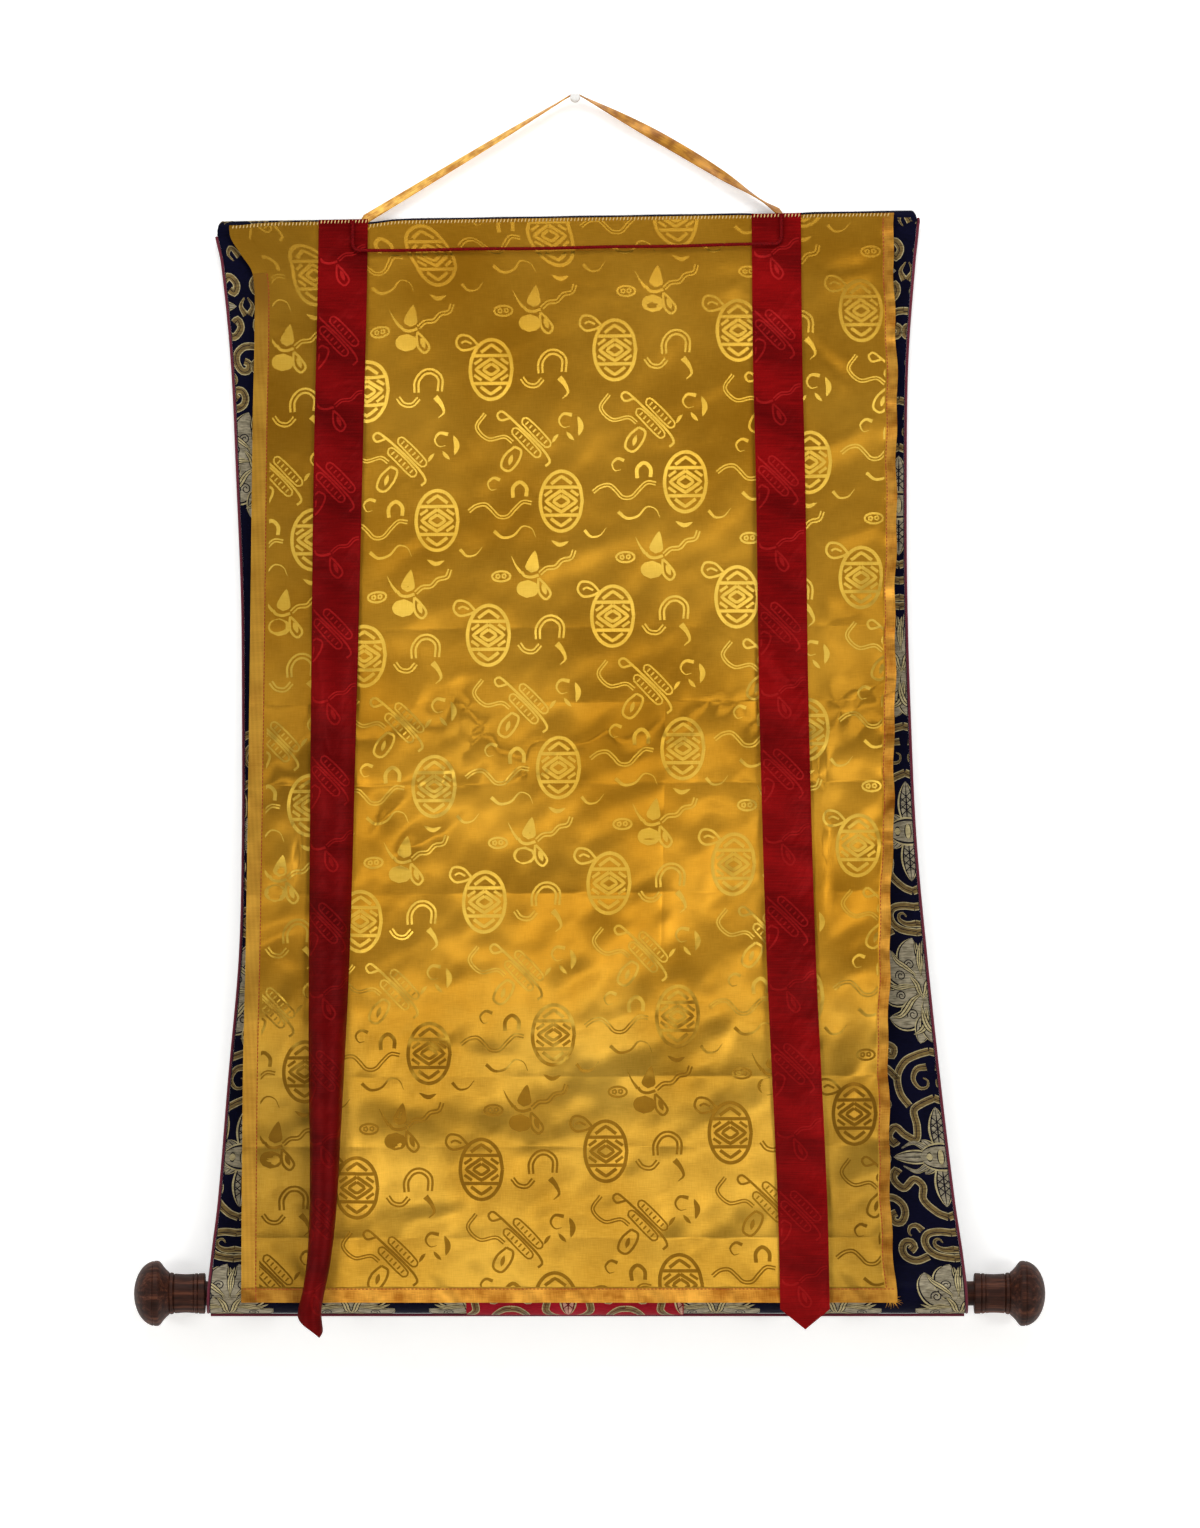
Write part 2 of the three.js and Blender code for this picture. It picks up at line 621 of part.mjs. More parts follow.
function makeRibbon(name, table, columns) {
  const [top, foot] = [table[0].z, table[table.length - 1].z];
  const [x, curl, turn] = ["x", "curl", "turn"].map((value) => curveThrough(table, "z", value));
  const grid = range(RIBBON_ROWS, (share) => {
    const z = lerp(top, foot + RIBBON_POINT, share);
    const gap = lerp(CLEAR, RIBBON_GAP, smoothstep(share, 0, RIBBON_GAP_RUN));
    const tilt = (point) => (share === 0 ? TOP_SLOPE * (point.x - table[0].x) : 0);
    return ribbonRow(z, x(z), curl(z), turn(z), columns, gap).map(({ point }) =>
      point.setZ(point.z + tilt(point)),
    );
  });
  for (const share of RIBBON_POINT_ROWS) {
    const level = lerp(foot + RIBBON_POINT, foot, share);
    grid.push(
      ribbonRow(level, x(level), curl(level), turn(level), columns, RIBBON_GAP).map((row) => {
        const toEdge = Math.abs(row.share - 0.5) * 2;
        return row.point.setZ(foot + RIBBON_POINT - RIBBON_POINT * share * (1 - toEdge) - share);
      }),
    );
  }
  return piece(name, sheetGeometry(grid, () => RIBBON_THICK), FINISHES.ribbon);
}

// The veil cord lies on the ribbons and crosses the veil between them
function makeVeilCord() {
  const onRibbon = (x, z) =>
    veilDepth(x, z) - VEIL_THICK / 2 - CLEAR - RIBBON_THICK - CORD_R - 2 * CLEAR;
  const y = (z) => onRibbon(CORD_RIGHT_X, z) - CORD_LIFT;
  const [leftTop, rightTop] = [CORD_LEFT_X, CORD_RIGHT_X].map((x) => topZ(x) - CORD_TOP_INSET);
  const [leftLow, rightLow] = [leftTop - CORD_DROP, rightTop - CORD_DROP];
  const corner = (x, low, inward) =>
    range(CORD_POINTS.corner, (share) => {
      const angle = (share * Math.PI) / 2;
      const [in_, up] = [1 - Math.cos(angle), 1 - Math.sin(angle)].map((v) => v * CORD_CORNER);
      return new THREE.Vector3(x + inward * in_, y(low), low + up);
    });
  const points = [
    ...range(CORD_POINTS.leg, (share) => {
      const z = lerp(leftTop, leftLow + 2 * CORD_CORNER, share);
      return new THREE.Vector3(CORD_LEFT_X, y(z), z);
    }),
    ...corner(CORD_LEFT_X, leftLow, 1),
    ...range(CORD_POINTS.run, (share) => {
      const x = lerp(CORD_LEFT_X + CORD_RUN_INSET, CORD_RIGHT_X - CORD_RUN_INSET, share);
      const z = lerp(leftLow, rightLow, share);
      return new THREE.Vector3(x, y(leftLow), z);
    }),
    ...corner(CORD_RIGHT_X, rightLow, -1).reverse(),
    ...range(CORD_POINTS.leg, (share) => {
      const z = lerp(rightLow + 2 * CORD_CORNER, rightTop, share);
      return new THREE.Vector3(CORD_RIGHT_X, y(z), z);
    }),
  ];
  return piece("veil_cord", tubeGeometry(points, CORD_R, CORD_SIDES, CORD_STEPS), FINISHES.cord);
}

// One leg of the loop, from its sewn end on the hem to the top of the pin's neck
function loopLeg(table, endX) {
  const [face, width] = ["face", "width"].map((value) => curveThrough(table, "share", value));
  const crown = PIN_NECK_R + CLEAR + LOOP_THICK / 2;
  const side = Math.sign(endX);
  const start = new THREE.Vector3(endX, HEM_Y, topZ(endX) + LOOP_LIFT);
  const slope = Math.atan2(crown - start.z, Math.abs(endX));
  const touch = new THREE.Vector3(
    side * crown * Math.sin(slope),
    LOOP_PIN_Y,
    crown * Math.cos(slope),
  );
  return range(LOOP_ROWS.leg, (share) => {
    const middle = start.clone().lerp(touch, share);
    if (side > 0) middle.z += LOOP_BOW * Math.sin(Math.PI * share);
    return { middle, face: degToRad(face(share)), width: width(share), slope: -side * slope };
  });
}

// The band is carried over the pin from leg to leg; each section is a flattened hexagon
function makeLoop() {
  const left = loopLeg(LOOP_LEFT, LOOP_LEFT_X);
  const right = loopLeg(LOOP_RIGHT, LOOP_RIGHT_X).reverse();
  const crown = PIN_NECK_R + CLEAR + LOOP_THICK / 2;
  const top = range(LOOP_ROWS.crown, (share) => {
    const slope = lerp(left[left.length - 1].slope, right[0].slope, share);
    const middle = new THREE.Vector3(-crown * Math.sin(slope), LOOP_PIN_Y, crown * Math.cos(slope));
    return { middle, face: Math.PI / 2, width: LOOP_CROWN_WIDTH, slope };
  }).slice(1, -1);
  const rings = [...left, ...top, ...right].map(({ middle, face, width, slope }, i, all) => {
    const isEnd = i === 0 || i === all.length - 1;
    const normal = new THREE.Vector3(-Math.sin(slope), 0, Math.cos(slope));
    const depth = new THREE.Vector3(0, 1, 0);
    const wide = normal.clone().multiplyScalar(Math.cos(face)).addScaledVector(depth, Math.sin(face));
    const thin = normal.clone().multiplyScalar(-Math.sin(face)).addScaledVector(depth, Math.cos(face));
    return LOOP_SECTION.map((corner) => {
      const point = middle.clone().addScaledVector(wide, corner.wide * width);
      point.addScaledVector(thin, corner.thin * LOOP_THICK);
      if (isEnd) point.z = topZ(point.x) + LOOP_LIFT;
      return point;
    });
  });
  return piece("hanging_loop", loftGeometry(rings), FINISHES.loop);
}

// The pin: a collar on the wall, a neck for the loop and a round head
function makePin() {
  const profile = PIN_PROFILE.map(({ along, radius }) => new THREE.Vector2(radius, along));
  return piece("wall_pin", new THREE.LatheGeometry(profile, ROUND_SEGMENTS), FINISHES.pin);
}

const scroll = new THREE.Group();
scroll.add(
  makePin(),
  makeLoop(),
  makeMount(),
  makePanel(),
  makeSidePiping("left"),
  makeSidePiping("right"),
  makeFootPiping(),
  makeDowel(),
  makeKnob("left"),
  makeKnob("right"),
  makeVeil(),
  makeRibbon("ribbon_left", LEFT_RIBBON, RIBBON_COLUMNS.left),
  makeRibbon("ribbon_right", RIGHT_RIBBON, RIBBON_COLUMNS.right),
  makeVeilCord(),
);
export default scroll;
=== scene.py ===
# %% [markdown]
# A thangka hangs from its loop on a wall pin, with the silk veil let down over the painting.
# This lesson dresses a frame of plain solids with cloth, thread and turned wood. The frame comes first.

# %% Load the frame
import math

import bmesh
import bpy
import numpy as np
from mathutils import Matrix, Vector, noise


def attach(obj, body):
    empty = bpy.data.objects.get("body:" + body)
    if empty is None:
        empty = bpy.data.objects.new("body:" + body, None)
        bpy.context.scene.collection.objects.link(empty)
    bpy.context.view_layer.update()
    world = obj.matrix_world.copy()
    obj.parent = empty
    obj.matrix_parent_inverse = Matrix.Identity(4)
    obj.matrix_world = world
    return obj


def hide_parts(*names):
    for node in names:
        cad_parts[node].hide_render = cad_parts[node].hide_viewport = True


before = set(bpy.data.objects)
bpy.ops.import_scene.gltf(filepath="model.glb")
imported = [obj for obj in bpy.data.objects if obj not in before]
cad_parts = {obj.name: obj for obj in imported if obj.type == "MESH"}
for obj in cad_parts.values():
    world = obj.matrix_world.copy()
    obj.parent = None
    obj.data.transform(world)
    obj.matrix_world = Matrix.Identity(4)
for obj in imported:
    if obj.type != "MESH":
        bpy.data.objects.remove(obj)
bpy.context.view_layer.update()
MM = 0.001
print("frame nodes:", sorted(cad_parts))

# %% [markdown]
# The camera looks straight at the wall from six metres, level with the middle of the scroll, through
# a long lens. From so far off the four sides stay as square as they are on paper.

# %% Camera
FRAME_HEIGHT = 1.3782
CAMERA_DISTANCE = 6.0
CAMERA_X, CAMERA_Z = 0.0225, -0.6023
SHEET_PLANE = -0.015
SENSOR = 36.0
camera = bpy.data.objects.new("camera", bpy.data.cameras.new("camera"))
bpy.context.collection.objects.link(camera)
camera.location = (CAMERA_X, SHEET_PLANE - CAMERA_DISTANCE, CAMERA_Z)
camera.rotation_euler = (math.radians(90), 0, 0)
camera.data.sensor_width = SENSOR
camera.data.lens = SENSOR * CAMERA_DISTANCE / FRAME_HEIGHT
bpy.context.scene.camera = camera
print("lens in mm:", round(camera.data.lens, 2))

# %% [markdown]
# Node trees are easier to read as sums. The class below wraps one output of a node. Plus, minus and
# times add a Math node each, from either side, so that 1 - wire works too. The method add() makes
# any other node: its settings first, then its sockets, by name or number, as values or as wires.

# %% A wire for shader sums
MIX_SHARE, MIX_FIRST, MIX_SECOND, MIX_RESULT = 0, 6, 7, 2


class Wire:
    def __init__(self, tree, socket=None):
        self.tree = tree
        self.socket = socket

    def add(self, kind, settings=None, sockets=None, out=0):
        node = self.tree.nodes.new("ShaderNode" + kind)
        for key, value in (settings or {}).items():
            if key == "stops":
                self.set_stops(node.color_ramp, value)
            else:
                setattr(node, key, value)
        for key, value in (sockets or {}).items():
            if isinstance(value, Wire):
                self.tree.links.new(value.socket, node.inputs[key])
            else:
                node.inputs[key].default_value = value
        return Wire(self.tree, node.outputs[out])

    @staticmethod
    def set_stops(ramp, stops):
        while len(ramp.elements) < len(stops):
            ramp.elements.new(1.0)
        for element, (place, colour) in zip(ramp.elements, stops):
            element.position = place
            element.color = colour

    def sum(self, operation, first, second):
        return self.add("Math", {"operation": operation}, {0: first, 1: second})

    def __add__(self, other):
        return self.sum("ADD", self, other)

    def __radd__(self, other):
        return self.sum("ADD", other, self)

    def __sub__(self, other):
        return self.sum("SUBTRACT", self, other)

    def __rsub__(self, other):
        return self.sum("SUBTRACT", other, self)

    def __mul__(self, other):
        return self.sum("MULTIPLY", self, other)

    def __rmul__(self, other):
        return self.sum("MULTIPLY", other, self)

    def sine(self):
        return self.sum("SINE", self, 0.0)

    def blend(self, low, high):
        """From one colour to another as this value goes from 0 to 1."""
        sockets = {MIX_SHARE: self, MIX_FIRST: low, MIX_SECOND: high}
        return self.add("Mix", {"data_type": "RGBA"}, sockets, out=MIX_RESULT)

    def tones(self, dark, light):
        """The same between two colours noted as they look on a screen."""
        return self.blend(screen(*dark), screen(*light))

    def darken(self, colour, by):
        """A colour multiplied by another as this value goes from 0 to 1."""
        sockets = {MIX_SHARE: self, MIX_FIRST: colour, MIX_SECOND: by}
        return self.add("Mix", {"data_type": "RGBA", "blend_type": "MULTIPLY"}, sockets, out=MIX_RESULT)

    def between(self, low, high):
        """0 below low, 1 above high, smooth in between."""
        settings = {"interpolation_type": "SMOOTHSTEP"}
        return self.add("MapRange", settings, {"Value": self, "From Min": low, "From Max": high})


print("a wire can:", [name for name in vars(Wire) if not name.startswith("_")])

# %% [markdown]
# A finish starts from the Principled shader. What is the same all over goes straight onto its
# sockets, and what varies is wired in. Colours are noted as they look on a screen, from 0 to 255,
# and turned into the linear light that Blender works in.

# %% Starting a finish
OBJECT_PLACE, BACK_FACING = 3, 6


def screen(red, green, blue):
    """A colour as seen on a screen, in linear light."""
    shares = [value / 255 for value in (red, green, blue)]
    linear = [s / 12.92 if s <= 0.04045 else ((s + 0.055) / 1.055) ** 2.4 for s in shares]
    return (*linear, 1.0)


class Finish:
    def __init__(self, name, constants):
        self.material = bpy.data.materials.new(name)
        self.material.use_nodes = True
        self.wire = Wire(self.material.node_tree)
        self.shader = self.material.node_tree.nodes["Principled BSDF"]
        for socket, value in constants.items():
            self.shader.inputs[socket].default_value = value

    def feed(self, **wires):
        for socket, wire in wires.items():
            self.wire.tree.links.new(wire.socket, self.shader.inputs[socket.replace("_", " ")])
        return self.material

    def cloth(self, across=1.0, along=1.0, turn=0.0):
        """The cloth's own flat place, in metres, turned in degrees and stretched by a share each way."""
        flat = self.wire.add("UVMap", {"uv_map": "cloth"})
        turned = self.wire.add("Mapping", {}, {"Vector": flat, "Rotation": (0, 0, math.radians(turn))})
        return self.wire.add("Mapping", {}, {"Vector": turned, "Scale": (across, along, 1.0)})

    def flat(self, way):
        """One coordinate of the flat cloth: 0 across, 1 along."""
        return self.wire.add("SeparateXYZ", {}, {0: self.cloth()}, out=way)

    def space(self, scale=(1.0, 1.0, 1.0)):
        here = self.wire.add("TexCoord", {}, {}, out=OBJECT_PLACE)
        return self.wire.add("Mapping", {}, {"Vector": here, "Scale": scale})

    def noise(self, place, scale, detail=2.0, roughness=0.5):
        sockets = {"Vector": place, "Scale": scale, "Detail": detail, "Roughness": roughness}
        return self.wire.add("TexNoise", {}, sockets)

    def bump(self, height, strength, distance, under=None):
        """Relief from a height, on top of another bump if one is given."""
        sockets = {"Height": height, "Strength": strength, "Distance": distance}
        if under:
            sockets["Normal"] = under
        return self.wire.add("Bump", {}, sockets)


print("pure white in linear light:", screen(255, 255, 255))

# %% [markdown]
# The studio is a white wall just behind the pin and a pale floor below the picture. The wall takes
# the soft grey shadows that the cloth throws on it. It lets the camera through from behind, so the
# back of the scroll can be looked at too.

# %% Wall and floor
def flat_stage(name, width, height, turn, place, material):
    bm = bmesh.new()
    bmesh.ops.create_grid(bm, x_segments=1, y_segments=1, size=0.5)
    bmesh.ops.scale(bm, vec=(width, height, 1), verts=bm.verts)
    mesh = bpy.data.meshes.new(name)
    bm.to_mesh(mesh)
    bm.free()
    mesh.materials.append(material)
    made = bpy.data.objects.new(name, mesh)
    made.rotation_euler = turn
    made.location = place
    bpy.context.collection.objects.link(made)
    return made


WHITE, GRAIN_STEP = (1, 1, 1, 1), 4


def plaster(name, colour, glow, see_through):
    lit = {"Emission Color": WHITE, "Emission Strength": glow}
    finish = Finish(name, {"Roughness": 0.9, "Specular IOR Level": 0.1, **lit})
    grain = finish.noise(finish.space(), 60.0)
    paler = [min(255, value + GRAIN_STEP) for value in colour]
    made = finish.feed(Base_Color=grain.tones(colour, paler))
    if see_through:
        wire = finish.wire
        behind = wire.add("NewGeometry", {}, {}, out=BACK_FACING)
        clear = wire.add("BsdfTransparent")
        surface = Wire(wire.tree, finish.shader.outputs[0])
        mixed = wire.add("MixShader", {}, {0: behind, 1: surface, 2: clear})
        wire.tree.links.new(mixed.socket, wire.tree.nodes["Material Output"].inputs["Surface"])
    return made


WALL_SIZE, WALL_PLACE = (9, 7), (0, 0.002, 0.4)
FLOOR_SIZE, FLOOR_PLACE = (9, 8), (0, -3.9, -1.6)
UPRIGHT, LEVEL = (math.radians(90), 0, 0), (0, 0, 0)
wall_white = plaster("wall_white", (244, 244, 243), 0.36, True)
floor_pale = plaster("floor_pale", (222, 219, 214), 0.0, False)
wall = flat_stage("wall", *WALL_SIZE, UPRIGHT, WALL_PLACE, wall_white)
floor = flat_stage("floor", *FLOOR_SIZE, LEVEL, FLOOR_PLACE, floor_pale)
print("stage:", wall.name, floor.name)

# %% [markdown]
# Satin shows what it reflects, so the lights are placed by the angles. Two wide boxes at the sides
# light everything softly. Two low boxes in front are at mirror height for the lower half of the
# veil, and a high one is for the figures, which scatter light up and down.

# %% Lights
def softbox(name, place, aim, size, strength):
    """An area light whose face has the given brightness, whatever its size."""
    light = bpy.data.lights.new(name, "AREA")
    light.shape = "RECTANGLE"
    light.size, light.size_y = size
    light.energy = strength * math.pi * size[0] * size[1]
    lamp = bpy.data.objects.new(name, light)
    lamp.location = place
    lamp.rotation_euler = (Vector(aim) - Vector(place)).to_track_quat("-Z", "Y").to_euler()
    lamp.visible_camera = False
    bpy.context.collection.objects.link(lamp)


SIDE_BOX, HIGH_BOX, LOW_BOX = (1.5, 2.4), (2.2, 0.9), (1.3, 0.66)
SIDE_AIM, HIGH_AIM, LOW_AIM = (0, 0, -0.6), (0, 0, -0.4), (0, 0, -0.8)
softbox("side_left", (-2.4, -1.7, -0.3), SIDE_AIM, SIDE_BOX, 0.85)
softbox("side_right", (2.4, -1.7, -0.3), SIDE_AIM, SIDE_BOX, 0.85)
softbox("high_front", (0.0, -1.7, 1.5), HIGH_AIM, HIGH_BOX, 8.0)
softbox("low_left", (-2.4, -3.3, -1.0), LOW_AIM, LOW_BOX, 9.2)
softbox("low_right", (2.4, -3.3, -1.0), LOW_AIM, LOW_BOX, 10.0)
world = bpy.data.worlds.new("studio")
bpy.context.scene.world = world
world.use_nodes = True
AMBIENT = 0.1
background = world.node_tree.nodes["Background"]
background.inputs["Color"].default_value = WHITE
background.inputs["Strength"].default_value = AMBIENT
bpy.context.scene.view_settings.view_transform = "Standard"

# %% [markdown]
# Every cloth on the scroll is drawn flat first and then hung. The tables say where its edges and
# folds are, in millimetres from the pin: x to the right, z up, and y into the wall. A smooth curve
# runs through the rows of a table.

# %% Tables and curves
def table(columns, *rows):
    return dict(zip(columns.split(), np.array(rows, float).T))


def curve(rows, at, value):
    """A smooth curve through one column of a table, read by another."""
    order = np.argsort(rows[at])
    places, values = rows[at][order], rows[value][order]
    slopes = np.empty(len(places))
    slopes[1:-1] = (values[2:] - values[:-2]) / (places[2:] - places[:-2])
    slopes[0] = (values[1] - values[0]) / (places[1] - places[0])
    slopes[-1] = (values[-1] - values[-2]) / (places[-1] - places[-2])

    def read(where):
        where = np.clip(where, places[0], places[-1])
        low = np.clip(np.searchsorted(places, where) - 1, 0, len(places) - 2)
        span = places[low + 1] - places[low]
        t = (where - places[low]) / span
        keep = values[low] * (2 * t**3 - 3 * t**2 + 1) + values[low + 1] * (3 * t**2 - 2 * t**3)
        return keep + span * (slopes[low] * (t**3 - 2 * t**2 + t) + slopes[low + 1] * (t**3 - t**2))

    return read


def ease(value, low, high):
    t = np.clip((value - low) / (high - low), 0, 1)
    return t * t * (3 - 2 * t)


def mix(first, second, share):
    return first + (second - first) * share


OUTLINE = table(
    "z left right",
    (-100, -318, 301), (-104, -318, 308.5), (-111, -320.5, 311.5), (-116, -324.5, 311),
    (-124, -325.5, 310.3), (-150, -320, 307.5), (-240, -311, 301), (-345, -306, 299.5),
    (-455, -301.5, 300), (-560, -300.5, 303), (-670, -300.5, 308), (-775, -303, 317.5),
    (-885, -312.5, 329), (-995, -321.5, 342), (-1054, -328.5, 350.5), (-1104, -331.5, 354),
)
VEIL_EDGES = table(
    "z left right",
    (-100, -312, 289), (-120, -311, 287), (-136, -301.5, 286.5), (-154, -291, 287),
    (-200, -289, 289), (-290, -290.5, 290), (-455, -292, 288.5), (-640, -294, 286.5),
    (-780, -296, 282.5), (-890, -298, 281.5), (-1045, -299, 285), (-1085, -299, 289),
)
outline_left, outline_right = curve(OUTLINE, "z", "left"), curve(OUTLINE, "z", "right")
veil_left, veil_right = curve(VEIL_EDGES, "z", "left"), curve(VEIL_EDGES, "z", "right")
SEAM_Z = -1054.0
print("mount is", outline_right(SEAM_Z) - outline_left(SEAM_Z), "mm wide at its foot")

# %% [markdown]
# The mount hangs from a padded hem and leans forward to the dowel. The veil is sewn to the hem and
# falls in front of it to the same place. Both are given as a depth for each x and z, so that
# anything sewn on them can ask where the cloth is.

# %% Depth of the mount and the veil
TOP_Z, TOP_SLOPE = -107.0, 0.0157
TOP_DIPS = table("at wide deep", (-186, 17, 2.8), (184, 20, 1.4))
HEM_Y, MIDDLE_Z = -6.5, -600.0
DOWEL_Y, DOWEL_Z = -31.0, -1078.5
EDGE_CURL, CURL_POWER, HALF_WIDTH = 3.0, 4, 325.0
VEIL_TOP_Y, VEIL_FOOT_Y, VEIL_FOOT_Z = -12.12, -53.4, -1085.0
VEIL_DROP, CORNER_DROP, CORNER_RUN = 2.4, 2.0, (-305.0, -272.0)
FOLDS_BEGIN, FOLDS_END = (0.0, 0.12), (0.9, 0.97)
VEIL_FOLDS = table(
    "x z half wide skew lean height",
    (-150, -300, 140, 50, 1, 12, 1.6), (170, -250, 120, 55, 1, -20, 1.8), (-60, -430, 210, 48, 1, 8, -1.1),
    (190, -470, 110, 60, 1, 35, 1.4), (-120, -560, 160, 46, 1, 10, 1.1), (120, -640, 190, 52, 1, 22, 1.5),
    (-170, -690, 150, 48, 1, -6, -1.4), (60, -765, 210, 44, 1, 20, -3.0), (-90, -800, 200, 46, 1, 14, 3.2),
    (200, -830, 110, 50, 1, 50, 3.4), (-20, -880, 240, 40, 1, 10, -3.0), (20, -945, 230, 42, 1, 12, 3.4),
    (-150, -1000, 130, 40, 1, 2, -2.4), (190, -985, 110, 46, 1, 38, -2.6),
)


def top_z(x):
    dips = zip(*TOP_DIPS.values())
    return TOP_Z + TOP_SLOPE * x - sum(deep * np.exp(-(((x - at) / wide) ** 2)) for at, wide, deep in dips)


def veil_top_z(x):
    return top_z(x) - VEIL_DROP - CORNER_DROP * (1 - ease(x, *CORNER_RUN))


def soft_rolls(rows, x, z):
    """How far a table of soft ridges and troughs brings the cloth forward."""
    forward = np.zeros(np.broadcast(x, z).shape)
    for at_x, at_z, half, wide, skew, lean, height in zip(*rows.values()):
        cos, sin = math.cos(math.radians(lean)), math.sin(math.radians(lean))
        dx, dz = x - at_x, z - at_z
        along = (dx * cos + dz * sin) / half
        across = (dz * cos - dx * sin) / wide
        across = np.where(across < 0, across / skew, across)
        forward += height * np.exp(-(along**2) - across**2)
    return forward


def mount_depth(x, z):
    fall = np.clip((top_z(x) - z) / (top_z(x) - SEAM_Z), 0, 1)
    curl = EDGE_CURL * (np.abs(x) / HALF_WIDTH) ** CURL_POWER * np.sin(math.pi * fall)
    return mix(HEM_Y, DOWEL_Y, fall) + curl


def veil_depth(x, z):
    fall = (top_z(x) - z) / (top_z(x) - VEIL_FOOT_Z)
    fade = ease(fall, *FOLDS_BEGIN) * (1 - ease(fall, *FOLDS_END))
    return mix(VEIL_TOP_Y, VEIL_FOOT_Y, fall) - soft_rolls(VEIL_FOLDS, x, z) * fade


stand_off = mount_depth(0.0, MIDDLE_Z) - veil_depth(0.0, MIDDLE_Z)
print("veil stands", round(float(stand_off), 1), "mm off the mount half-way down")

# %% [markdown]
# A few helpers do all the sewing. flat_grid draws a cloth as a grid in its own millimetres, keep_flat writes
# those to the UV map named cloth, and hang moves each point to its place in the room. A piece then gets its
# finishes and its ride.

# %% Sewing helpers
MERGE, SOFT_EDGE = 0.01, 50
FRONT = (0.0, -1.0, 0.0)


def flat_grid(across, up):
    bm = bmesh.new()
    bmesh.ops.create_grid(bm, x_segments=len(across) - 1, y_segments=len(up) - 1, size=1.0)
    for vert in bm.verts:
        column = round((vert.co.x + 1) / 2 * (len(across) - 1))
        row = round((vert.co.y + 1) / 2 * (len(up) - 1))
        vert.co = (across[column], up[row], 0.0)
    return bm


def keep_flat(bm):
    layer = bm.loops.layers.uv.new("cloth")
    for face in bm.faces:
        for loop in face.loops:
            loop[layer].uv = (loop.vert.co.x * MM, loop.vert.co.y * MM)


def hang(bm, place):
    """Moves flat points (across, up, lift) onto a surface that place() gives with its normals."""
    flat = np.array([vert.co for vert in bm.verts])
    points, normals = place(flat[:, 0], flat[:, 1])
    for vert, point in zip(bm.verts, (points + normals * flat[:, 2:3]) * MM):
        vert.co = point


def thicken(bm, thickness):
    bm.normal_update()
    bmesh.ops.solidify(bm, geom=bm.faces[:], thickness=thickness * MM)


def piece(name, bm, finishes, slot, *nodes, sharp=SOFT_EDGE):
    bm.normal_update()
    mesh = bpy.data.meshes.new(name)
    bm.to_mesh(mesh)
    bm.free()
    for finish in finishes:
        mesh.materials.append(finish)
    mesh.shade_smooth()
    mesh.set_sharp_from_angle(angle=math.radians(sharp))
    made = bpy.data.objects.new(name, mesh)
    bpy.context.collection.objects.link(made)
    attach(made, "root")
    if nodes:
        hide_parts(*nodes)
    print(name, "has", len(mesh.polygons), "faces")
    return made


def tube(rings, along, around):
    """A closed tube through rings of points; the grid is wrapped round and its seam merged."""
    count, sides = rings.shape[:2]
    bm = flat_grid(np.arange(sides + 1), np.arange(count))
    layer = bm.loops.layers.uv.new("cloth")
    for face in bm.faces:
        for loop in face.loops:
            row = round(loop.vert.co.y)
            loop[layer].uv = (loop.vert.co.x / sides * around * MM, along[row] * MM)
    for vert in bm.verts:
        vert.co = Vector(rings[round(vert.co.y), round(vert.co.x) % sides]) * MM
    bmesh.ops.remove_doubles(bm, verts=bm.verts, dist=MERGE * MM)
    bmesh.ops.holes_fill(bm, edges=bm.edges, sides=0)
    bmesh.ops.recalc_face_normals(bm, faces=bm.faces)
    return bm


def run_length(points):
    return np.concatenate([[0], np.cumsum(np.linalg.norm(np.diff(points, axis=0), axis=1))])


print("cloth is drawn in units of", MM, "m")

# %% [markdown]
# The loop's silk is golden yellow, and its right leg lies in shade. Fine threads run along it, so a
# noise that is stretched along the band gives both its colour and its small relief.

# %% Loop finish
SHADED_FROM = (0.205, 0.235)
LIT_TONES = ((172, 108, 22), (246, 194, 88))
SHADED_TONES = ((136, 82, 14), (198, 138, 42))


def loop_silk():
    finish = Finish("loop_silk", {"Metallic": 0.25, "Anisotropic": 0.5})
    threads = finish.noise(finish.cloth(1800.0, 90.0), 1.0, 3.0)
    slow = finish.noise(finish.cloth(1.6, 1.0), 80.0)
    tone = (threads * 0.4 + slow * 0.6).between(0.36, 0.64)
    left_tone, right_tone = tone.tones(*LIT_TONES), tone.tones(*SHADED_TONES)
    return finish.feed(
        Base_Color=finish.flat(1).between(*SHADED_FROM).blend(left_tone, right_tone),
        Roughness=0.32 + threads * 0.2,
        Normal=finish.bump(threads, 0.35, 0.0004),
    )


loop_finish = loop_silk()
print("loop finish:", loop_finish.name)

# %% [markdown]
# The hanging loop is a sewn band. Each leg runs straight from the hem to the pin, because the
# scroll's weight pulls it tight, and the band turns from flat at the hem to edge-on over the pin.
# It is made as a tube with a flat rounded section, so the turn can be given row by row.

# %% Hanging loop
LOOP_THICK, LOOP_PIN_Y, LOOP_BOW, LOOP_LIFT = 1.6, -7.7, 4.0, 0.7
LOOP_GIRTH, LOOP_BREADTH, CROWN_WIDTH = 20.0, 0.0098, 9.0
FLAT_POWER, THIN_POWER = 0.7, 0.6
LOOP_ENDS = {"left": -192.0, "right": 186.0}
PIN_NECK_R, CLEAR = 2.3, 0.3
LOOP_TURNS = {
    "left": table("share face width", (0, 14, 8.6), (0.3, 34, 8.8), (0.7, 56, 9), (1, 90, 9)),
    "right": table(
        "share face width",
        (0, 40, 9), (0.1, 82, 10), (0.3, 30, 10.5), (0.55, 4, 10.5), (0.8, 45, 10), (1, 90, 9),
    ),
}
LEG_ROWS, CROWN_ROWS, BAND_SIDES = 60, 9, 16


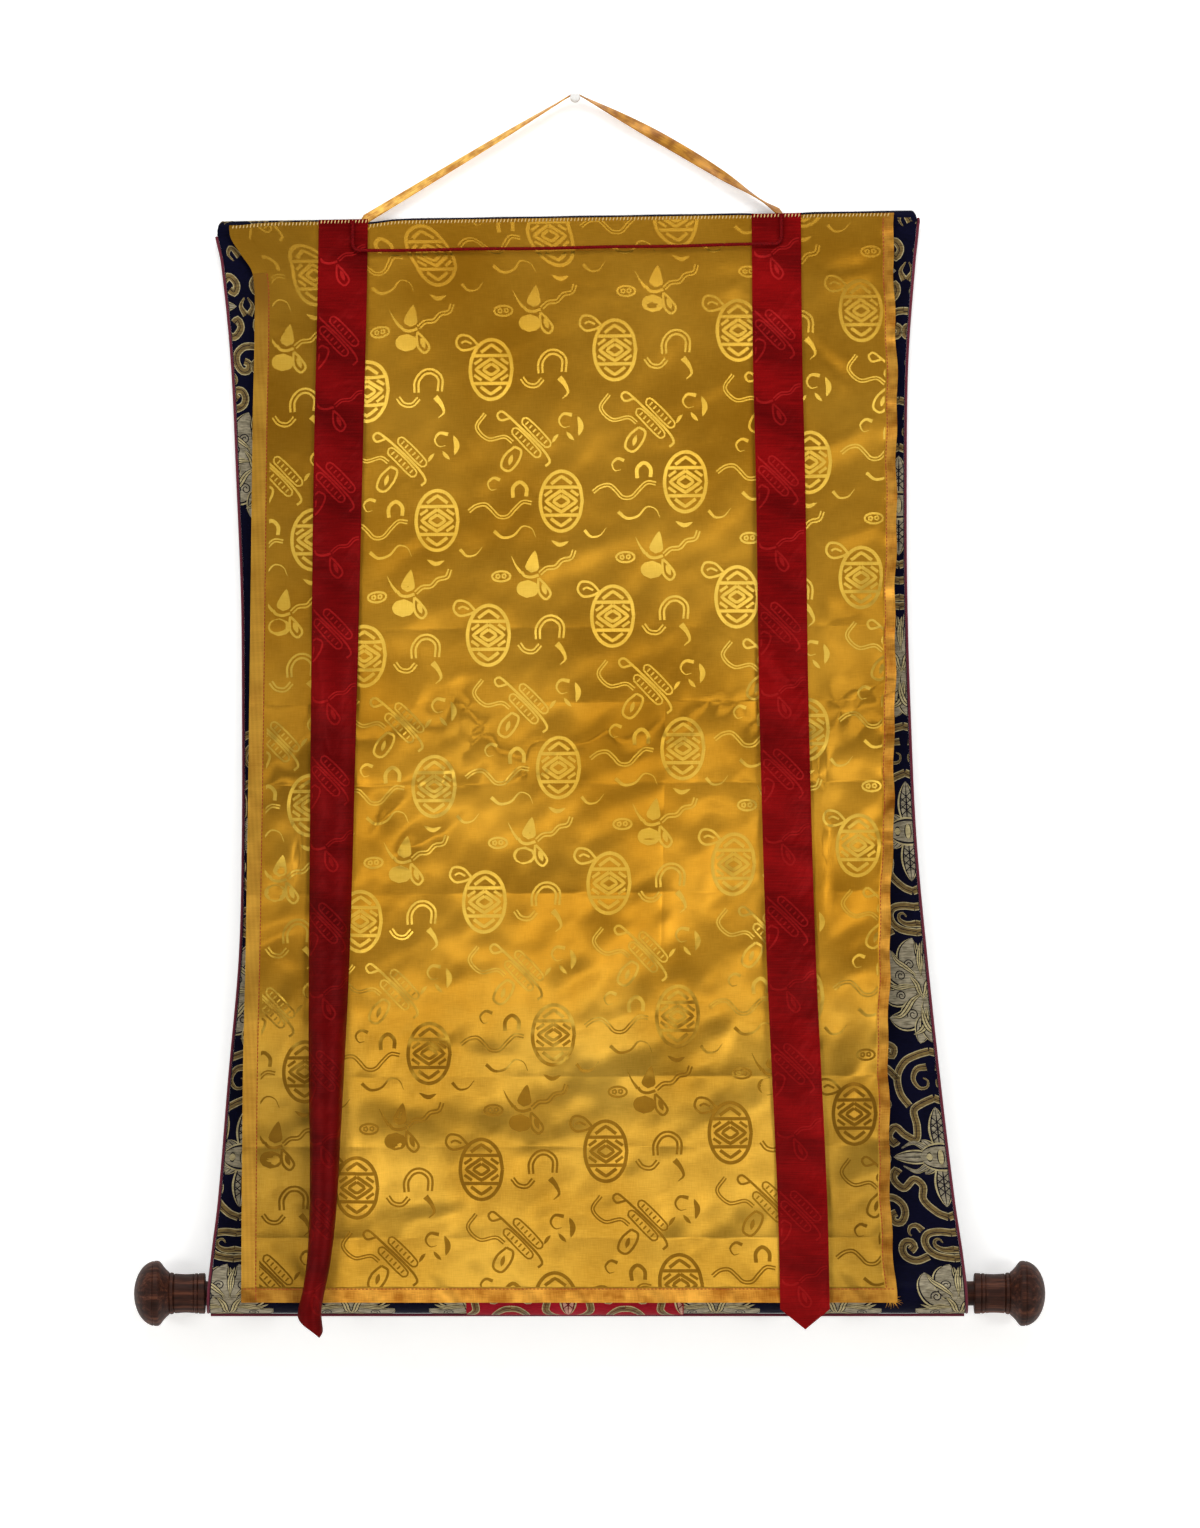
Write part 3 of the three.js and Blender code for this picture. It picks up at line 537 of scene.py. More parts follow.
def loop_leg(side):
    """Middle line, facing, width and slope of one leg, from the hem up to the pin."""
    end, turns = LOOP_ENDS[side], LOOP_TURNS[side]
    crown = PIN_NECK_R + CLEAR + LOOP_THICK / 2
    start = np.array([end, HEM_Y, top_z(end) + LOOP_LIFT])
    slope = math.atan2(crown - start[2], abs(end))
    sign = math.copysign(1, end)
    touch = np.array([sign * crown * math.sin(slope), LOOP_PIN_Y, crown * math.cos(slope)])
    share = np.linspace(0, 1, LEG_ROWS)
    middle = mix(start, touch, share[:, None])
    if side == "right":
        middle[:, 2] += LOOP_BOW * np.sin(math.pi * share)
    face = np.radians(curve(turns, "share", "face")(share))
    return middle, face, curve(turns, "share", "width")(share), np.full(LEG_ROWS, -sign * slope)


def loop_rows():
    left, right = loop_leg("left"), [column[::-1] for column in loop_leg("right")]
    crown = PIN_NECK_R + CLEAR + LOOP_THICK / 2
    slope = np.linspace(left[3][-1], right[3][0], CROWN_ROWS + 2)[1:-1]
    middle = np.stack([-crown * np.sin(slope), np.full(CROWN_ROWS, LOOP_PIN_Y), crown * np.cos(slope)], 1)
    top = (middle, np.full(CROWN_ROWS, math.pi / 2), np.full(CROWN_ROWS, CROWN_WIDTH), slope)
    return [np.concatenate(columns) for columns in zip(left, top, right)]


def band_rings(middle, face, width, slope):
    angle = np.linspace(0, 2 * math.pi, BAND_SIDES, endpoint=False)
    flat = np.sign(np.cos(angle)) * np.abs(np.cos(angle)) ** FLAT_POWER / 2
    thin = np.sign(np.sin(angle)) * np.abs(np.sin(angle)) ** THIN_POWER / 2
    normal = np.stack([-np.sin(slope), np.zeros_like(slope), np.cos(slope)], 1)
    depth = np.array([0.0, 1.0, 0.0])
    wide_way = normal * np.cos(face)[:, None] + depth * np.sin(face)[:, None]
    thin_way = -normal * np.sin(face)[:, None] + depth * np.cos(face)[:, None]
    across = wide_way[:, None, :] * (flat[None, :] * width[:, None])[:, :, None]
    return middle[:, None, :] + across + thin_way[:, None, :] * (thin * LOOP_THICK)[None, :, None]


loop_middle, *loop_turns = loop_rows()
loop_along = run_length(loop_middle)
loop_shape = band_rings(loop_middle, *loop_turns)
for end_row in (0, -1):
    loop_shape[end_row, :, 2] = top_z(loop_shape[end_row, :, 0]) + LOOP_LIFT
loop_bm = tube(loop_shape, loop_along, LOOP_GIRTH)
loop = piece("hanging_loop_band", loop_bm, [loop_finish], "loop_silk", "hanging_loop")
print("loop runs", round(float(loop_along[-1])), "mm from end to end")

# %% [markdown]
# Woven figures and gold brocade are drawn with a brush of cloth. A stroke is a little grid bent
# along a line, split across into bands, each with its own finish or none. Even strokes outline,
# leaf strokes make petals, and a disc fills a round.

# %% Strokes
STROKE_LIFT, STROKE_STEP, OVAL_POINTS, CORNER_NEAR = 0.14, 2.4, 13, 0.8
SOLID = [(-1, 1, 0)]
DOUBLE = [(-1, -0.3, 0), (-0.3, 0.3, None), (0.3, 1, 0)]
WIDTH_SHAPES = {
    "even": lambda s: np.ones_like(s),
    "taper": lambda s: 1 - 0.85 * s,
    "leaf": lambda s: np.sin(math.pi * s) ** 0.75,
    "flame": lambda s: 2.6 * s**0.6 * (1 - s) ** 0.8,
    "drop": lambda s: np.sqrt(np.clip(4 * s, 0, 1)) * (1 - s) ** 0.7 * 1.2,
    "disc": lambda s: np.sqrt(np.clip(1 - (2 * s - 1) ** 2, 0, 1)),
}


def through(points, step):
    """Even points on a smooth line through a few given ones."""
    points = np.array(points, float)
    at = run_length(points)
    rows = {"at": at, "x": points[:, 0], "y": points[:, 1]}
    count = max(3, math.ceil(at[-1] / step) + 1)
    share = np.linspace(0, at[-1], count)
    return np.stack([curve(rows, "at", "x")(share), curve(rows, "at", "y")(share)], 1)


def stroke(bm, points, width, shape="even", bands=SOLID, lift=STROKE_LIFT, step=STROKE_STEP):
    line = through(points, step)
    along = np.gradient(line, axis=0)
    along /= np.linalg.norm(along, axis=1)[:, None]
    half = width / 2 * WIDTH_SHAPES[shape](np.linspace(0, 1, len(line)))
    edges = [band[0] for band in bands] + [bands[-1][1]]
    made = bmesh.ops.create_grid(bm, x_segments=len(bands), y_segments=len(line) - 1, size=1.0)
    unused = []
    for face in {face for vert in made["verts"] for face in vert.link_faces}:
        column = int((face.calc_center_median().x + 1) / 2 * len(bands))
        if bands[column][2] is None:
            unused.append(face)
        else:
            face.material_index = bands[column][2]
    for vert in made["verts"]:
        row = round((vert.co.y + 1) / 2 * (len(line) - 1))
        side = edges[round((vert.co.x + 1) / 2 * len(bands))] * half[row]
        x, y = line[row] + side * np.array([along[row][1], -along[row][0]])
        vert.co = (x, y, lift)
    bmesh.ops.delete(bm, geom=unused, context="FACES")


def oval(x, y, wide, tall):
    angles = np.radians(np.linspace(0, 360, OVAL_POINTS))
    return [(x + wide * math.cos(a), y + tall * math.sin(a)) for a in angles]


def cornered(points):
    """The same line with points close to each corner, so that the smooth line keeps it crisp."""
    points = [np.array(point, float) for point in points]
    line = [points[0]]
    for before, here, after in zip(points, points[1:], points[2:]):
        for other in (before, after):
            line.append(here + (other - here) / np.linalg.norm(other - here) * CORNER_NEAR)
    return [tuple(point) for point in [*line, points[-1]]]


def moved(points, x, y):
    return [(x + px, y + py) for px, py in points]


def repeat(unit, places, bm=None):
    """The unit at each place, in a new mesh or added to one."""
    bm = bm or bmesh.new()
    mould = bpy.data.meshes.new("mould")
    unit.to_mesh(mould)
    for x, y in places:
        first = len(bm.verts)
        bm.from_mesh(mould)
        bm.verts.ensure_lookup_table()
        bmesh.ops.translate(bm, vec=(x, y, 0), verts=bm.verts[first:])
    bpy.data.meshes.remove(mould)
    return bm


def trim(bm, left, right, low, high):
    """Cuts a flat drawing to a rectangle."""
    cuts = [
        ((left, 0, 0), (-1, 0, 0)), ((right, 0, 0), (1, 0, 0)),
        ((0, low, 0), (0, -1, 0)), ((0, high, 0), (0, 1, 0)),
    ]
    for point, way in cuts:
        geom = bm.verts[:] + bm.edges[:] + bm.faces[:]
        bmesh.ops.bisect_plane(bm, geom=geom, plane_co=point, plane_no=way, clear_outer=True)


def cut_level(bm, low, high, step):
    """Cuts the part of a flat drawing between two heights at even levels, so that it can bend."""
    faces = [face for face in bm.faces if low < face.calc_center_median().y < high]
    geom = list({part for face in faces for part in (face, *face.edges, *face.verts)})
    for level in np.arange(low + step, high + step, step):
        cut = bmesh.ops.bisect_plane(bm, geom=geom, plane_co=(0, level, 0), plane_no=(0, 1, 0))
        geom = cut["geom"]


print("stroke shapes:", sorted(WIDTH_SHAPES))

# %% [markdown]
# The veil is monochrome silk damask: one golden yarn, with a satin ground that shines sideways and figures
# woven the other way that shine up and down. Anisotropy does part of this. The tangent of a sheet that faces
# the front is level, so a quarter turn separates the figures from the ground. The rest is painted into the
# colours. The figures are painted brighter than the ground in the body and darker at the foot and the top.
# The ground gets a painted paler highlight at the foot, and painted shade darkens both sides. Places on the
# cloth are in metres here: across from its left edge and up from its foot.

# %% Veil finishes
VEIL_MIDDLE = 0.286
LEVEL_SHINE, CROSS_SHINE = 0.0, 0.25
FOOT_TO_BODY, BODY_TO_CROWN = (0.2, 0.32), (0.8, 0.94)
# Painted shade: the veil's colour is darkened towards both sides. On the left it is darkened all the way up
# and more towards the foot; on the right it is darkened mostly near the foot.
LEFT_FOOT, RIGHT_FOOT, SIDE_FROM = (0.12, 0.28), (0.12, 0.38), (0.19, 0.23)
SIDE_PAINTED_SHADE = (0.6, 0.6, 0.58, 1.0)
LEFT_LEAST, LEFT_MORE, RIGHT_LEAST, RIGHT_MORE = 0.7, 0.3, 0.25, 0.65


def veil_silk(name, foot, body, crown, turn, rough, patch=7.0, ragged=0.06):
    """Silk with a pair of tones each for the veil's foot, body and top, which paint light and shade where
    they differ, and painted shade towards both sides.
    """
    finish = Finish(name, {"Metallic": 0.88, "Anisotropic": 0.8, "Anisotropic Rotation": turn})
    slub = finish.noise(finish.cloth(90.0, 1250.0), 1.0, 3.0)
    warp = finish.noise(finish.cloth(1250.0, 90.0), 1.0, 2.0)
    slow = finish.noise(finish.cloth(), patch, 2.0)
    border = (finish.noise(finish.cloth(), 48.0, 2.0) - 0.5) * ragged
    tone = (slub * 0.22 + warp * 0.15 + slow * 0.63).between(0.3, 0.7)
    across, rise = finish.flat(0), finish.flat(1)
    # The tones by height paint light and shade. The ground gets a paler highlight at the foot. The figures
    # are brighter than the ground in the body but darker at the foot and the top.
    tones = [tone.tones(*pair) for pair in (foot, body, crown)]
    base_tone = (rise + border).between(*FOOT_TO_BODY).blend(tones[0], tones[1])
    base_tone = rise.between(*BODY_TO_CROWN).blend(base_tone, tones[2])
    # Painted shade darkens both sides of the veil, more towards the foot.
    left_foot_shade, right_foot_shade = 1.0 - rise.between(*LEFT_FOOT), 1.0 - rise.between(*RIGHT_FOOT)
    left = (VEIL_MIDDLE - across).between(*SIDE_FROM) * (left_foot_shade * LEFT_MORE + LEFT_LEAST)
    right = (across - VEIL_MIDDLE).between(*SIDE_FROM) * (right_foot_shade * RIGHT_MORE + RIGHT_LEAST)
    return finish.feed(
        Base_Color=(left + right).darken(base_tone, SIDE_PAINTED_SHADE),
        Roughness=rough + slub * 0.12 + slow * 0.06,
        Normal=finish.bump(slub * 0.6 + warp * 0.4, 0.1, 0.0003),
    )


SELVEDGE_DULL, DULL_TONE = (0.845, 0.925), (150, 102, 18)
SELVEDGE_TONES = ((154, 104, 20), (214, 162, 54))


def selvedge_silk():
    finish = Finish("veil_selvedge", {"Metallic": 0.7, "Anisotropic": 0.6})
    ribs = (finish.flat(0) * 5400.0).sine() * 0.5 + 0.5
    slub = finish.noise(finish.cloth(40.0, 900.0), 1.0, 3.0)
    slow = finish.noise(finish.cloth(), 30.0)
    tone = ribs * 0.3 + slub * 0.2 + slow * 0.5
    base_tone = tone.between(0.3, 0.7).tones(*SELVEDGE_TONES)
    return finish.feed(
        Base_Color=finish.flat(1).between(*SELVEDGE_DULL).blend(base_tone, screen(*DULL_TONE)),
        Roughness=0.4 + slub * 0.12,
        Normal=finish.bump(ribs + slub * 0.3, 0.3, 0.0002),
    )


def sewing_thread(name, dark, light):
    finish = Finish(name, {"Specular IOR Level": 0.3})
    twist = finish.noise(finish.space(), 1500.0)
    return finish.feed(
        Base_Color=twist.tones(dark, light),
        Roughness=0.55 + twist * 0.2,
        Normal=finish.bump(twist, 0.4, 0.0002),
    )


# One yarn throughout: the foot tones paint a paler highlight on the ground, and the figure tones paint the
# figures' light and shade.
GROUND_TONES = ((204, 139, 23), (236, 173, 50))
FOOT_SHEEN_TONES = ((196, 141, 34), (238, 186, 69))
HEM_TONES = ((164, 95, 15), (252, 186, 72))
FIGURE_LIGHT_AND_SHADE_TONES = {
    "foot": ((146, 100, 16), (180, 130, 32)),
    "body": ((232, 180, 54), (254, 212, 88)),
    "crown": ((172, 124, 28), (198, 150, 44)),
}
ground_silk = veil_silk("veil_ground", FOOT_SHEEN_TONES, GROUND_TONES, GROUND_TONES, LEVEL_SHINE, rough=0.31)
figure_silk = veil_silk("veil_figure", *FIGURE_LIGHT_AND_SHADE_TONES.values(), CROSS_SHINE, rough=0.36, ragged=0.3)
hem_silk = veil_silk("veil_hem", HEM_TONES, HEM_TONES, HEM_TONES, LEVEL_SHINE, rough=0.42, patch=46.0)
edge_silk = selvedge_silk()
pale_thread = sewing_thread("pale_thread", (186, 150, 84), (236, 208, 140))
rust_thread = sewing_thread("rust_thread", (136, 40, 12), (178, 72, 22))
print("veil finishes:", ground_silk.name, figure_silk.name)

# %% [markdown]
# The veil's own small relief goes on top of its folds: the sharp lines left by folding it away,
# creases, the uneven swelling of worn silk, and puckers where the hems are stitched. Each crease is
# a soft ridge or trough with its own place and size. Under the ribbons the cloth lies flatter.

# %% The hung veil
VEIL_WIDTH, VEIL_LENGTH = 585.0, 975.6
VEIL_THICK, HEM_EXTRA = 1.2, 0.35
SELVEDGE, SIDE_HEM, FOOT_HEM, HEM_STEP = 13.0, 9.8, 13.0, 0.7
CORNER_FOOT = 930.0
PRESSED_LINES = table(
    "up height wide phase",
    (58, 0.75, 7, 0.4), (140, -0.6, 6, 2.1), (202, 0.8, 8, 1.2), (367, 0.75, 7, 3.0), (465, -0.5, 6, 0.2),
    (538, 0.5, 6, 1.6), (605, -0.5, 6, 4.0),
)
PRESSED_UPRIGHT = {"across": 377.0, "height": -0.5, "wide": 2.6, "low": 280.0, "high": 560.0}
VEIL_CREASES = table(
    "x z half wide skew lean height",
    (-67, -868, 85, 12, 3.5, -9, 2.0), (58, -880, 60, 10, 2.5, 27, 1.8), (-130, -1010, 50, 11, 3, 4, 1.8),
    (31, -1002, 42, 11, 2.5, 16, 1.5), (148, -1022, 45, 18, 1.5, 58, 2.0), (-94, -799, 38, 13, 2, 22, 1.6),
    (10, -785, 55, 13, 1, 42, 1.5), (-153, -768, 38, 13, 2, 16, 1.4), (147, -768, 40, 16, 1, 40, 1.6),
    (110, -932, 52, 11, 2, 34, 1.6), (-30, -952, 50, 12, 2, -16, 1.2), (-160, -922, 45, 11, 2, -22, 1.3),
    (75, -1045, 36, 9, 1.5, 48, 1.2), (-60, -1050, 34, 9, 1.5, 30, 1.1), (-5, -905, 30, 8, 1, 52, 0.9),
    (-120, -860, 30, 9, 1, 38, 0.9), (130, -845, 34, 10, 1.5, 46, 1.2), (40, -830, 34, 9, 1, 18, 0.9),
    (-30, -706, 60, 10, 2, 20, 0.9), (110, -690, 52, 11, 2, 34, 1.1), (-140, -655, 46, 10, 1.5, 26, 0.8),
    (40, -608, 60, 11, 1.5, 18, 0.8), (130, -562, 48, 10, 1.5, 38, 0.7), (-60, -522, 60, 11, 1, 14, 0.6),
    (236, -470, 46, 15, 1, 20, 1.3), (238, -537, 48, 15, 1, 12, 1.8), (230, -602, 44, 17, 1, 26, 2.2),
    (240, -664, 40, 14, 1, 38, 1.6), (234, -727, 46, 17, 1, 34, 2.2), (238, -800, 46, 16, 1, 30, 1.8),
    (244, -880, 46, 17, 1, 42, 1.8), (238, -980, 46, 14, 1, 36, 1.5), (-268, -560, 44, 15, 1, 36, 1.2),
    (-262, -690, 44, 16, 1, 28, 1.4), (-266, -820, 46, 15, 1, 40, 1.4), (-262, -950, 46, 14, 1, 30, 1.4),
    (-90, -240, 70, 10, 1, 24, 0.6), (60, -330, 80, 11, 1, 14, -0.6), (139, -168, 36, 15, 1, 12, 1.5),
    (240, -158, 40, 14, 1, 10, 1.6), (236, -312, 46, 12, 1, 34, 1.7), (226, -240, 40, 9, 1, -48, 1.2),
    (240, -395, 44, 12, 1, 22, 1.4), (120, -262, 50, 12, 1, 26, 1.1), (-20, -420, 60, 12, 1, 20, 0.9),
    (-180, -420, 60, 10, 1, 32, 0.6), (20, -176, 60, 9, 1, -8, 0.6), (-110, -150, 50, 8, 1, 26, 0.6),
    (-250, -170, 46, 9, 1, -34, 0.9), (-235, -215, 50, 10, 1, -18, 0.8), (120, -135, 50, 8, 1, 8, 0.6),
)
CRUSHES = table(
    "turn narrow pitch height",
    (50, 1.5, 125, 3.3), (35, 1.5, 34, 1.35), (28, 1.4, 17, 0.42),
)
RELIEF_BEGINS, RELIEF_ENDS = (0.015, 0.06), (0.94, 0.985)
CALM, CALM_RISE = 0.55, (0.3, 0.8)
UNEVEN_BASE, UNEVEN_SWING, UNEVEN_PITCH = 0.65, 0.35, 60.0
RIBBON_BEDS = table("top foot", (-209, -230), (181.5, 206.5))
BED_INNER, BED_OUTER, BED_HEIGHT = 24.0, 36.0, 0.2
EDGE_WAVES = {"reach": 30.0, "size": 0.6, "short": 8.7, "long": 21.0}
PUCKER_START, PUCKER_RUN, PUCKER_POWER, PUCKER_LEAN = 4.0, 26.0, 1.4, 0.9
HEM_PUCKERS = table("pitch height phase", (23.0, 0.34, 0.4), (37.0, 0.4, 1.9), (61.0, 0.45, 0.8))
SIDE_PUCKERS = table("pitch height phase", (19.0, 0.24, 0.9), (33.0, 0.34, 2.3), (52.0, 0.4, 0.1))


def crushed(across, up):
    """The unevenness of worn silk: slanted hollows and swellings, broad and fine."""
    forward = np.zeros(len(across))
    for turn, narrow, pitch, height in zip(*CRUSHES.values()):
        cos, sin = math.cos(math.radians(turn)), math.sin(math.radians(turn))
        places = zip((across * cos - up * sin) * narrow / pitch, (across * sin + up * cos) / pitch)
        forward += height * np.array([noise.noise((first, second, 0.0)) for first, second in places])
    return forward


def veil_relief(x, z, across, up):
    """How far the small relief comes forward, from the place in the room and on the flat cloth."""
    fall = 1 - up / VEIL_LENGTH
    inside = ease(fall, *RELIEF_BEGINS) * (1 - ease(fall, *RELIEF_ENDS))
    calm = mix(1, CALM, ease(up / VEIL_LENGTH, *CALM_RISE))
    forward = (soft_rolls(VEIL_CREASES, x, z) + crushed(across, up) * calm) * inside
    for top, foot in zip(*RIBBON_BEDS.values()):
        under = 1 - ease(np.abs(x - mix(top, foot, fall)), BED_INNER, BED_OUTER)
        forward = mix(forward, np.minimum(forward, BED_HEIGHT), under)
    for at, height, wide, phase in zip(*PRESSED_LINES.values()):
        uneven = UNEVEN_BASE + UNEVEN_SWING * np.sin(across / UNEVEN_PITCH + phase)
        forward = forward + height * uneven * np.exp(-np.abs(up - at) / wide)
    line = PRESSED_UPRIGHT
    reach = ease(up, line["low"], line["low"] + UNEVEN_PITCH)
    reach = reach * (1 - ease(up, line["high"] - UNEVEN_PITCH, line["high"]))
    forward = forward + line["height"] * reach * np.exp(-np.abs(across - line["across"]) / line["wide"])
    near_hem = np.exp(-((np.maximum(0, z - VEIL_FOOT_Z - PUCKER_START) / PUCKER_RUN) ** PUCKER_POWER))
    near_side = ease(across, VEIL_WIDTH - 2 * SIDE_HEM, VEIL_WIDTH - SIDE_HEM / 2)
    for near, rows, at in ((near_hem, HEM_PUCKERS, x + PUCKER_LEAN * up), (near_side, SIDE_PUCKERS, up)):
        for pitch, height, phase in zip(*rows.values()):
            forward = forward + near * height * np.sin(2 * math.pi * at / pitch + phase)
    return forward


def veil_place(across, up):
    """The veil's front: across from its left edge, up from its foot, in flat millimetres."""
    share = up / VEIL_LENGTH
    middle = mix(VEIL_FOOT_Z, veil_top_z(0.0), share)
    x = mix(veil_left(middle), veil_right(middle), across / VEIL_WIDTH)
    loose = ease(across, VEIL_WIDTH - EDGE_WAVES["reach"], VEIL_WIDTH)
    x = x + loose * EDGE_WAVES["size"] * (np.sin(up / EDGE_WAVES["short"]) + np.sin(up / EDGE_WAVES["long"]))
    z = mix(VEIL_FOOT_Z, veil_top_z(x), share)
    y = veil_depth(x, z) - VEIL_THICK / 2 - veil_relief(x, z, across, up)
    return np.stack([x, y, z], 1), np.tile(FRONT, (len(x), 1))


def hem_lift(across, up):
    side = ease(across, VEIL_WIDTH - SIDE_HEM - HEM_STEP, VEIL_WIDTH - SIDE_HEM)
    foot = 1 - ease(up, FOOT_HEM, FOOT_HEM + HEM_STEP)
    return HEM_EXTRA * np.maximum(side, foot)


VEIL_COLUMNS, VEIL_ROWS = 140, 236
UPRIGHT_STEPS, LEVEL_STEPS = (-1.5, 0, 1.5), (-1.7, 0, 1.7)
SELVEDGE_COLUMNS, FOOT_ROWS = (0, 0.6, 4.4, 8.7, SELVEDGE), (0, HEM_STEP, 4.5, 9)
GROUND_FINISH, HEM_FINISH, SELVEDGE_FINISH = 0, 1, 2


def veil_bm():
    body = np.linspace(SELVEDGE + HEM_STEP, VEIL_WIDTH - SIDE_HEM - HEM_STEP, VEIL_COLUMNS)
    creases = [PRESSED_UPRIGHT["across"] + step for step in UPRIGHT_STEPS]
    hem = VEIL_WIDTH - SIDE_HEM
    edge = [hem, hem + HEM_STEP, VEIL_WIDTH - SIDE_HEM / 2, VEIL_WIDTH - HEM_STEP, VEIL_WIDTH]
    across = [*SELVEDGE_COLUMNS, *np.sort([*body, *creases, hem - 2 * HEM_STEP]), *edge]
    rise = np.linspace(FOOT_HEM + HEM_STEP, VEIL_LENGTH, VEIL_ROWS)
    pressed = [at + step for at in PRESSED_LINES["up"] for step in LEVEL_STEPS]
    fold = [FOOT_HEM - HEM_STEP, FOOT_HEM, FOOT_HEM + 2 * HEM_STEP]
    up = [*FOOT_ROWS, *np.sort([*fold, *rise, *pressed])]
    bm = flat_grid(across, up)
    keep_flat(bm)
    for face in bm.faces:
        place = face.calc_center_median()
        if place.y < FOOT_HEM or place.x > VEIL_WIDTH - SIDE_HEM:
            face.material_index = HEM_FINISH
        elif place.x < SELVEDGE and place.y < CORNER_FOOT:
            face.material_index = SELVEDGE_FINISH
        else:
            face.material_index = GROUND_FINISH
    for vert in bm.verts:
        vert.co.z = hem_lift(vert.co.x, vert.co.y)
    hang(bm, veil_place)
    thicken(bm, VEIL_THICK)
    return bm


veil = piece("veil_cloth", veil_bm(), [ground_silk, hem_silk, edge_silk], "veil_silk", "veil")

# %% [markdown]
# The figures on the veil repeat. One unit holds two oval fret medallions, a gourd with its ties, a
# cloud arch, a pair of ribbed bars and the ribbons between. Each line of a figure is one stroke, so
# the unit is drawn once from a table and can be copied.

# %% Damask unit
MEDALLION = [
    (2.6, oval(0, 0, 19.0, 27.0)),
    (2.5, [(-15.5, 12.6), (0, 12.6), (15.5, 12.6)]),
    (2.5, [(15.5, -12.6), (0, -12.6), (-15.5, -12.6)]),
    (2.5, cornered([(-9.4, 15.6), (0, 22.4), (9.4, 15.6)])),
    (2.5, cornered([(9.4, -15.6), (0, -22.4), (-9.4, -15.6)])),
    (2.6, cornered([(0.1, 9.8), (14.2, 0), (0, -9.8), (-14.2, 0), (-0.1, 9.8)])),
    (2.4, cornered([(0.1, 5.2), (7.6, 0), (0, -5.2), (-7.6, 0), (-0.1, 5.2)])),
    (2.2, [(15.4, 5.0), (12, 7.4), (8.6, 9.8)]),
    (2.2, [(-15.4, 5.0), (-12, 7.4), (-8.6, 9.8)]),
    (2.2, [(15.4, -5.0), (12, -7.4), (8.6, -9.8)]),
    (2.2, [(-15.4, -5.0), (-12, -7.4), (-8.6, -9.8)]),
]
MEDALLION_PLACES = [(0, 0), (64.8, -119.7)]
GOURD_TIES = [
    (2.2, "even", SOLID, [(29.5, 57), (32, 53.4), (38, 52), (45, 54)]),
    (3.6, "even", DOUBLE, [(46, 55), (52, 60), (60, 61), (66, 67), (74, 69), (77, 76)]),
    (1.8, "even", SOLID, [(45, 51), (51, 45), (56, 37), (52, 32), (46, 37), (44.5, 46), (45, 51)]),
    (3.6, "leaf", SOLID, [(48, 46), (50, 41), (52, 36)]),
    (2.4, "taper", SOLID, [(29, 56), (24, 63), (20, 71)]),
]
BAR_TIES = [
    (1.8, "even", SOLID, [(18, -44), (28, -53.5), (37, -62), (50, -76), (54, -84), (50, -88)]),
    (1.7, "even", SOLID, [(18, -44), (10, -38), (6, -41), (9, -46), (18, -44)]),
    (3.0, "even", DOUBLE, [(-5, -40), (-12.5, -52), (-2, -63), (13, -61), (20, -66)]),
    (1.8, "even", SOLID, [(22, -70), (13, -78), (10, -88), (17, -92), (25, -84), (28, -74), (22, -70)]),
    (3.2, "leaf", SOLID, [(20, -77), (18.5, -82), (17, -87)]),
]
EMBLEMS = [
    (1.8, "even", SOLID, [(-12, 22), (-20, 30), (-29, 31), (-32, 24), (-27, 18), (-18, 19), (-12, 22)]),
    (1.6, "even", SOLID, [(-18, 23.5), (-24, 26), (-27.5, 24)]),
    (11.0, "drop", SOLID, [(38.3, 56), (39, 62), (41.5, 76)]),
    (16.5, "disc", SOLID, [(35.6, 49.6), (35, 42), (34.2, 33.4)]),
    *GOURD_TIES,
    (1.6, "even", SOLID, oval(11, 53, 8.4, 4.6)),
    (1.4, "even", SOLID, oval(8, 53, 1.9, 1.9)),
    (1.4, "even", SOLID, oval(13.6, 53.3, 1.9, 1.9)),
    (4.8, "even", DOUBLE, [(45, -4), (45, 6), (51, 14), (59, 15), (66, 9), (66, -3)]),
    (3.8, "even", DOUBLE, [(47, -9), (41, -15), (33, -14), (28, -8)]),
    (4.4, "taper", SOLID, [(62, -8), (67, -14), (70, -22), (65, -27)]),
    *BAR_TIES,
    (2.8, "taper", SOLID, [(74, -42), (66, -41), (62, -47), (66, -53), (72, -52)]),
    (4.2, "leaf", SOLID, [(79, -43), (82, -52), (80, -61)]),
    (2.8, "leaf", SOLID, [(69, -57), (72, -61), (76, -65)]),
    (2.6, "leaf", SOLID, [(62, -59), (59, -62), (56, -67)]),
    (2.6, "taper", SOLID, [(9, -100), (3, -98), (-2, -103), (1, -109), (6, -108)]),
    (2.8, "even", SOLID, [(21, -116), (21, -107), (27, -102), (33, -107), (33, -115)]),
    (
        3.2, "even", DOUBLE,
        [
            (-19, -128), (-12, -123), (-4, -122), (2, -127), (8, -133), (16, -133), (23, -126), (30, -120),
            (38, -121),
        ],
    ),
    (2.6, "taper", SOLID, [(4, -146), (12, -152), (22, -150), (30, -142), (38, -144), (42, -152)]),
    (2.4, "taper", SOLID, [(86, -146), (92, -152), (100, -151), (106, -144)]),
    (3.2, "leaf", SOLID, [(56, -155), (64, -159), (72, -156)]),
]
BAR_PLACES, BAR_WAY = [(32.5, -66.5), (41.5, -57.5)], (0.70, -0.714)
BAR_HALF, BAR_WIDE, BAR_TIP, BAR_LINE = 15.0, 3.4, 2.6, 1.6
RIBS, RIB_SPREAD, RIB_HALF, RIB_LINE = 6, 0.8, 2.0, 1.5
FIGURE_WEIGHT = 1.22


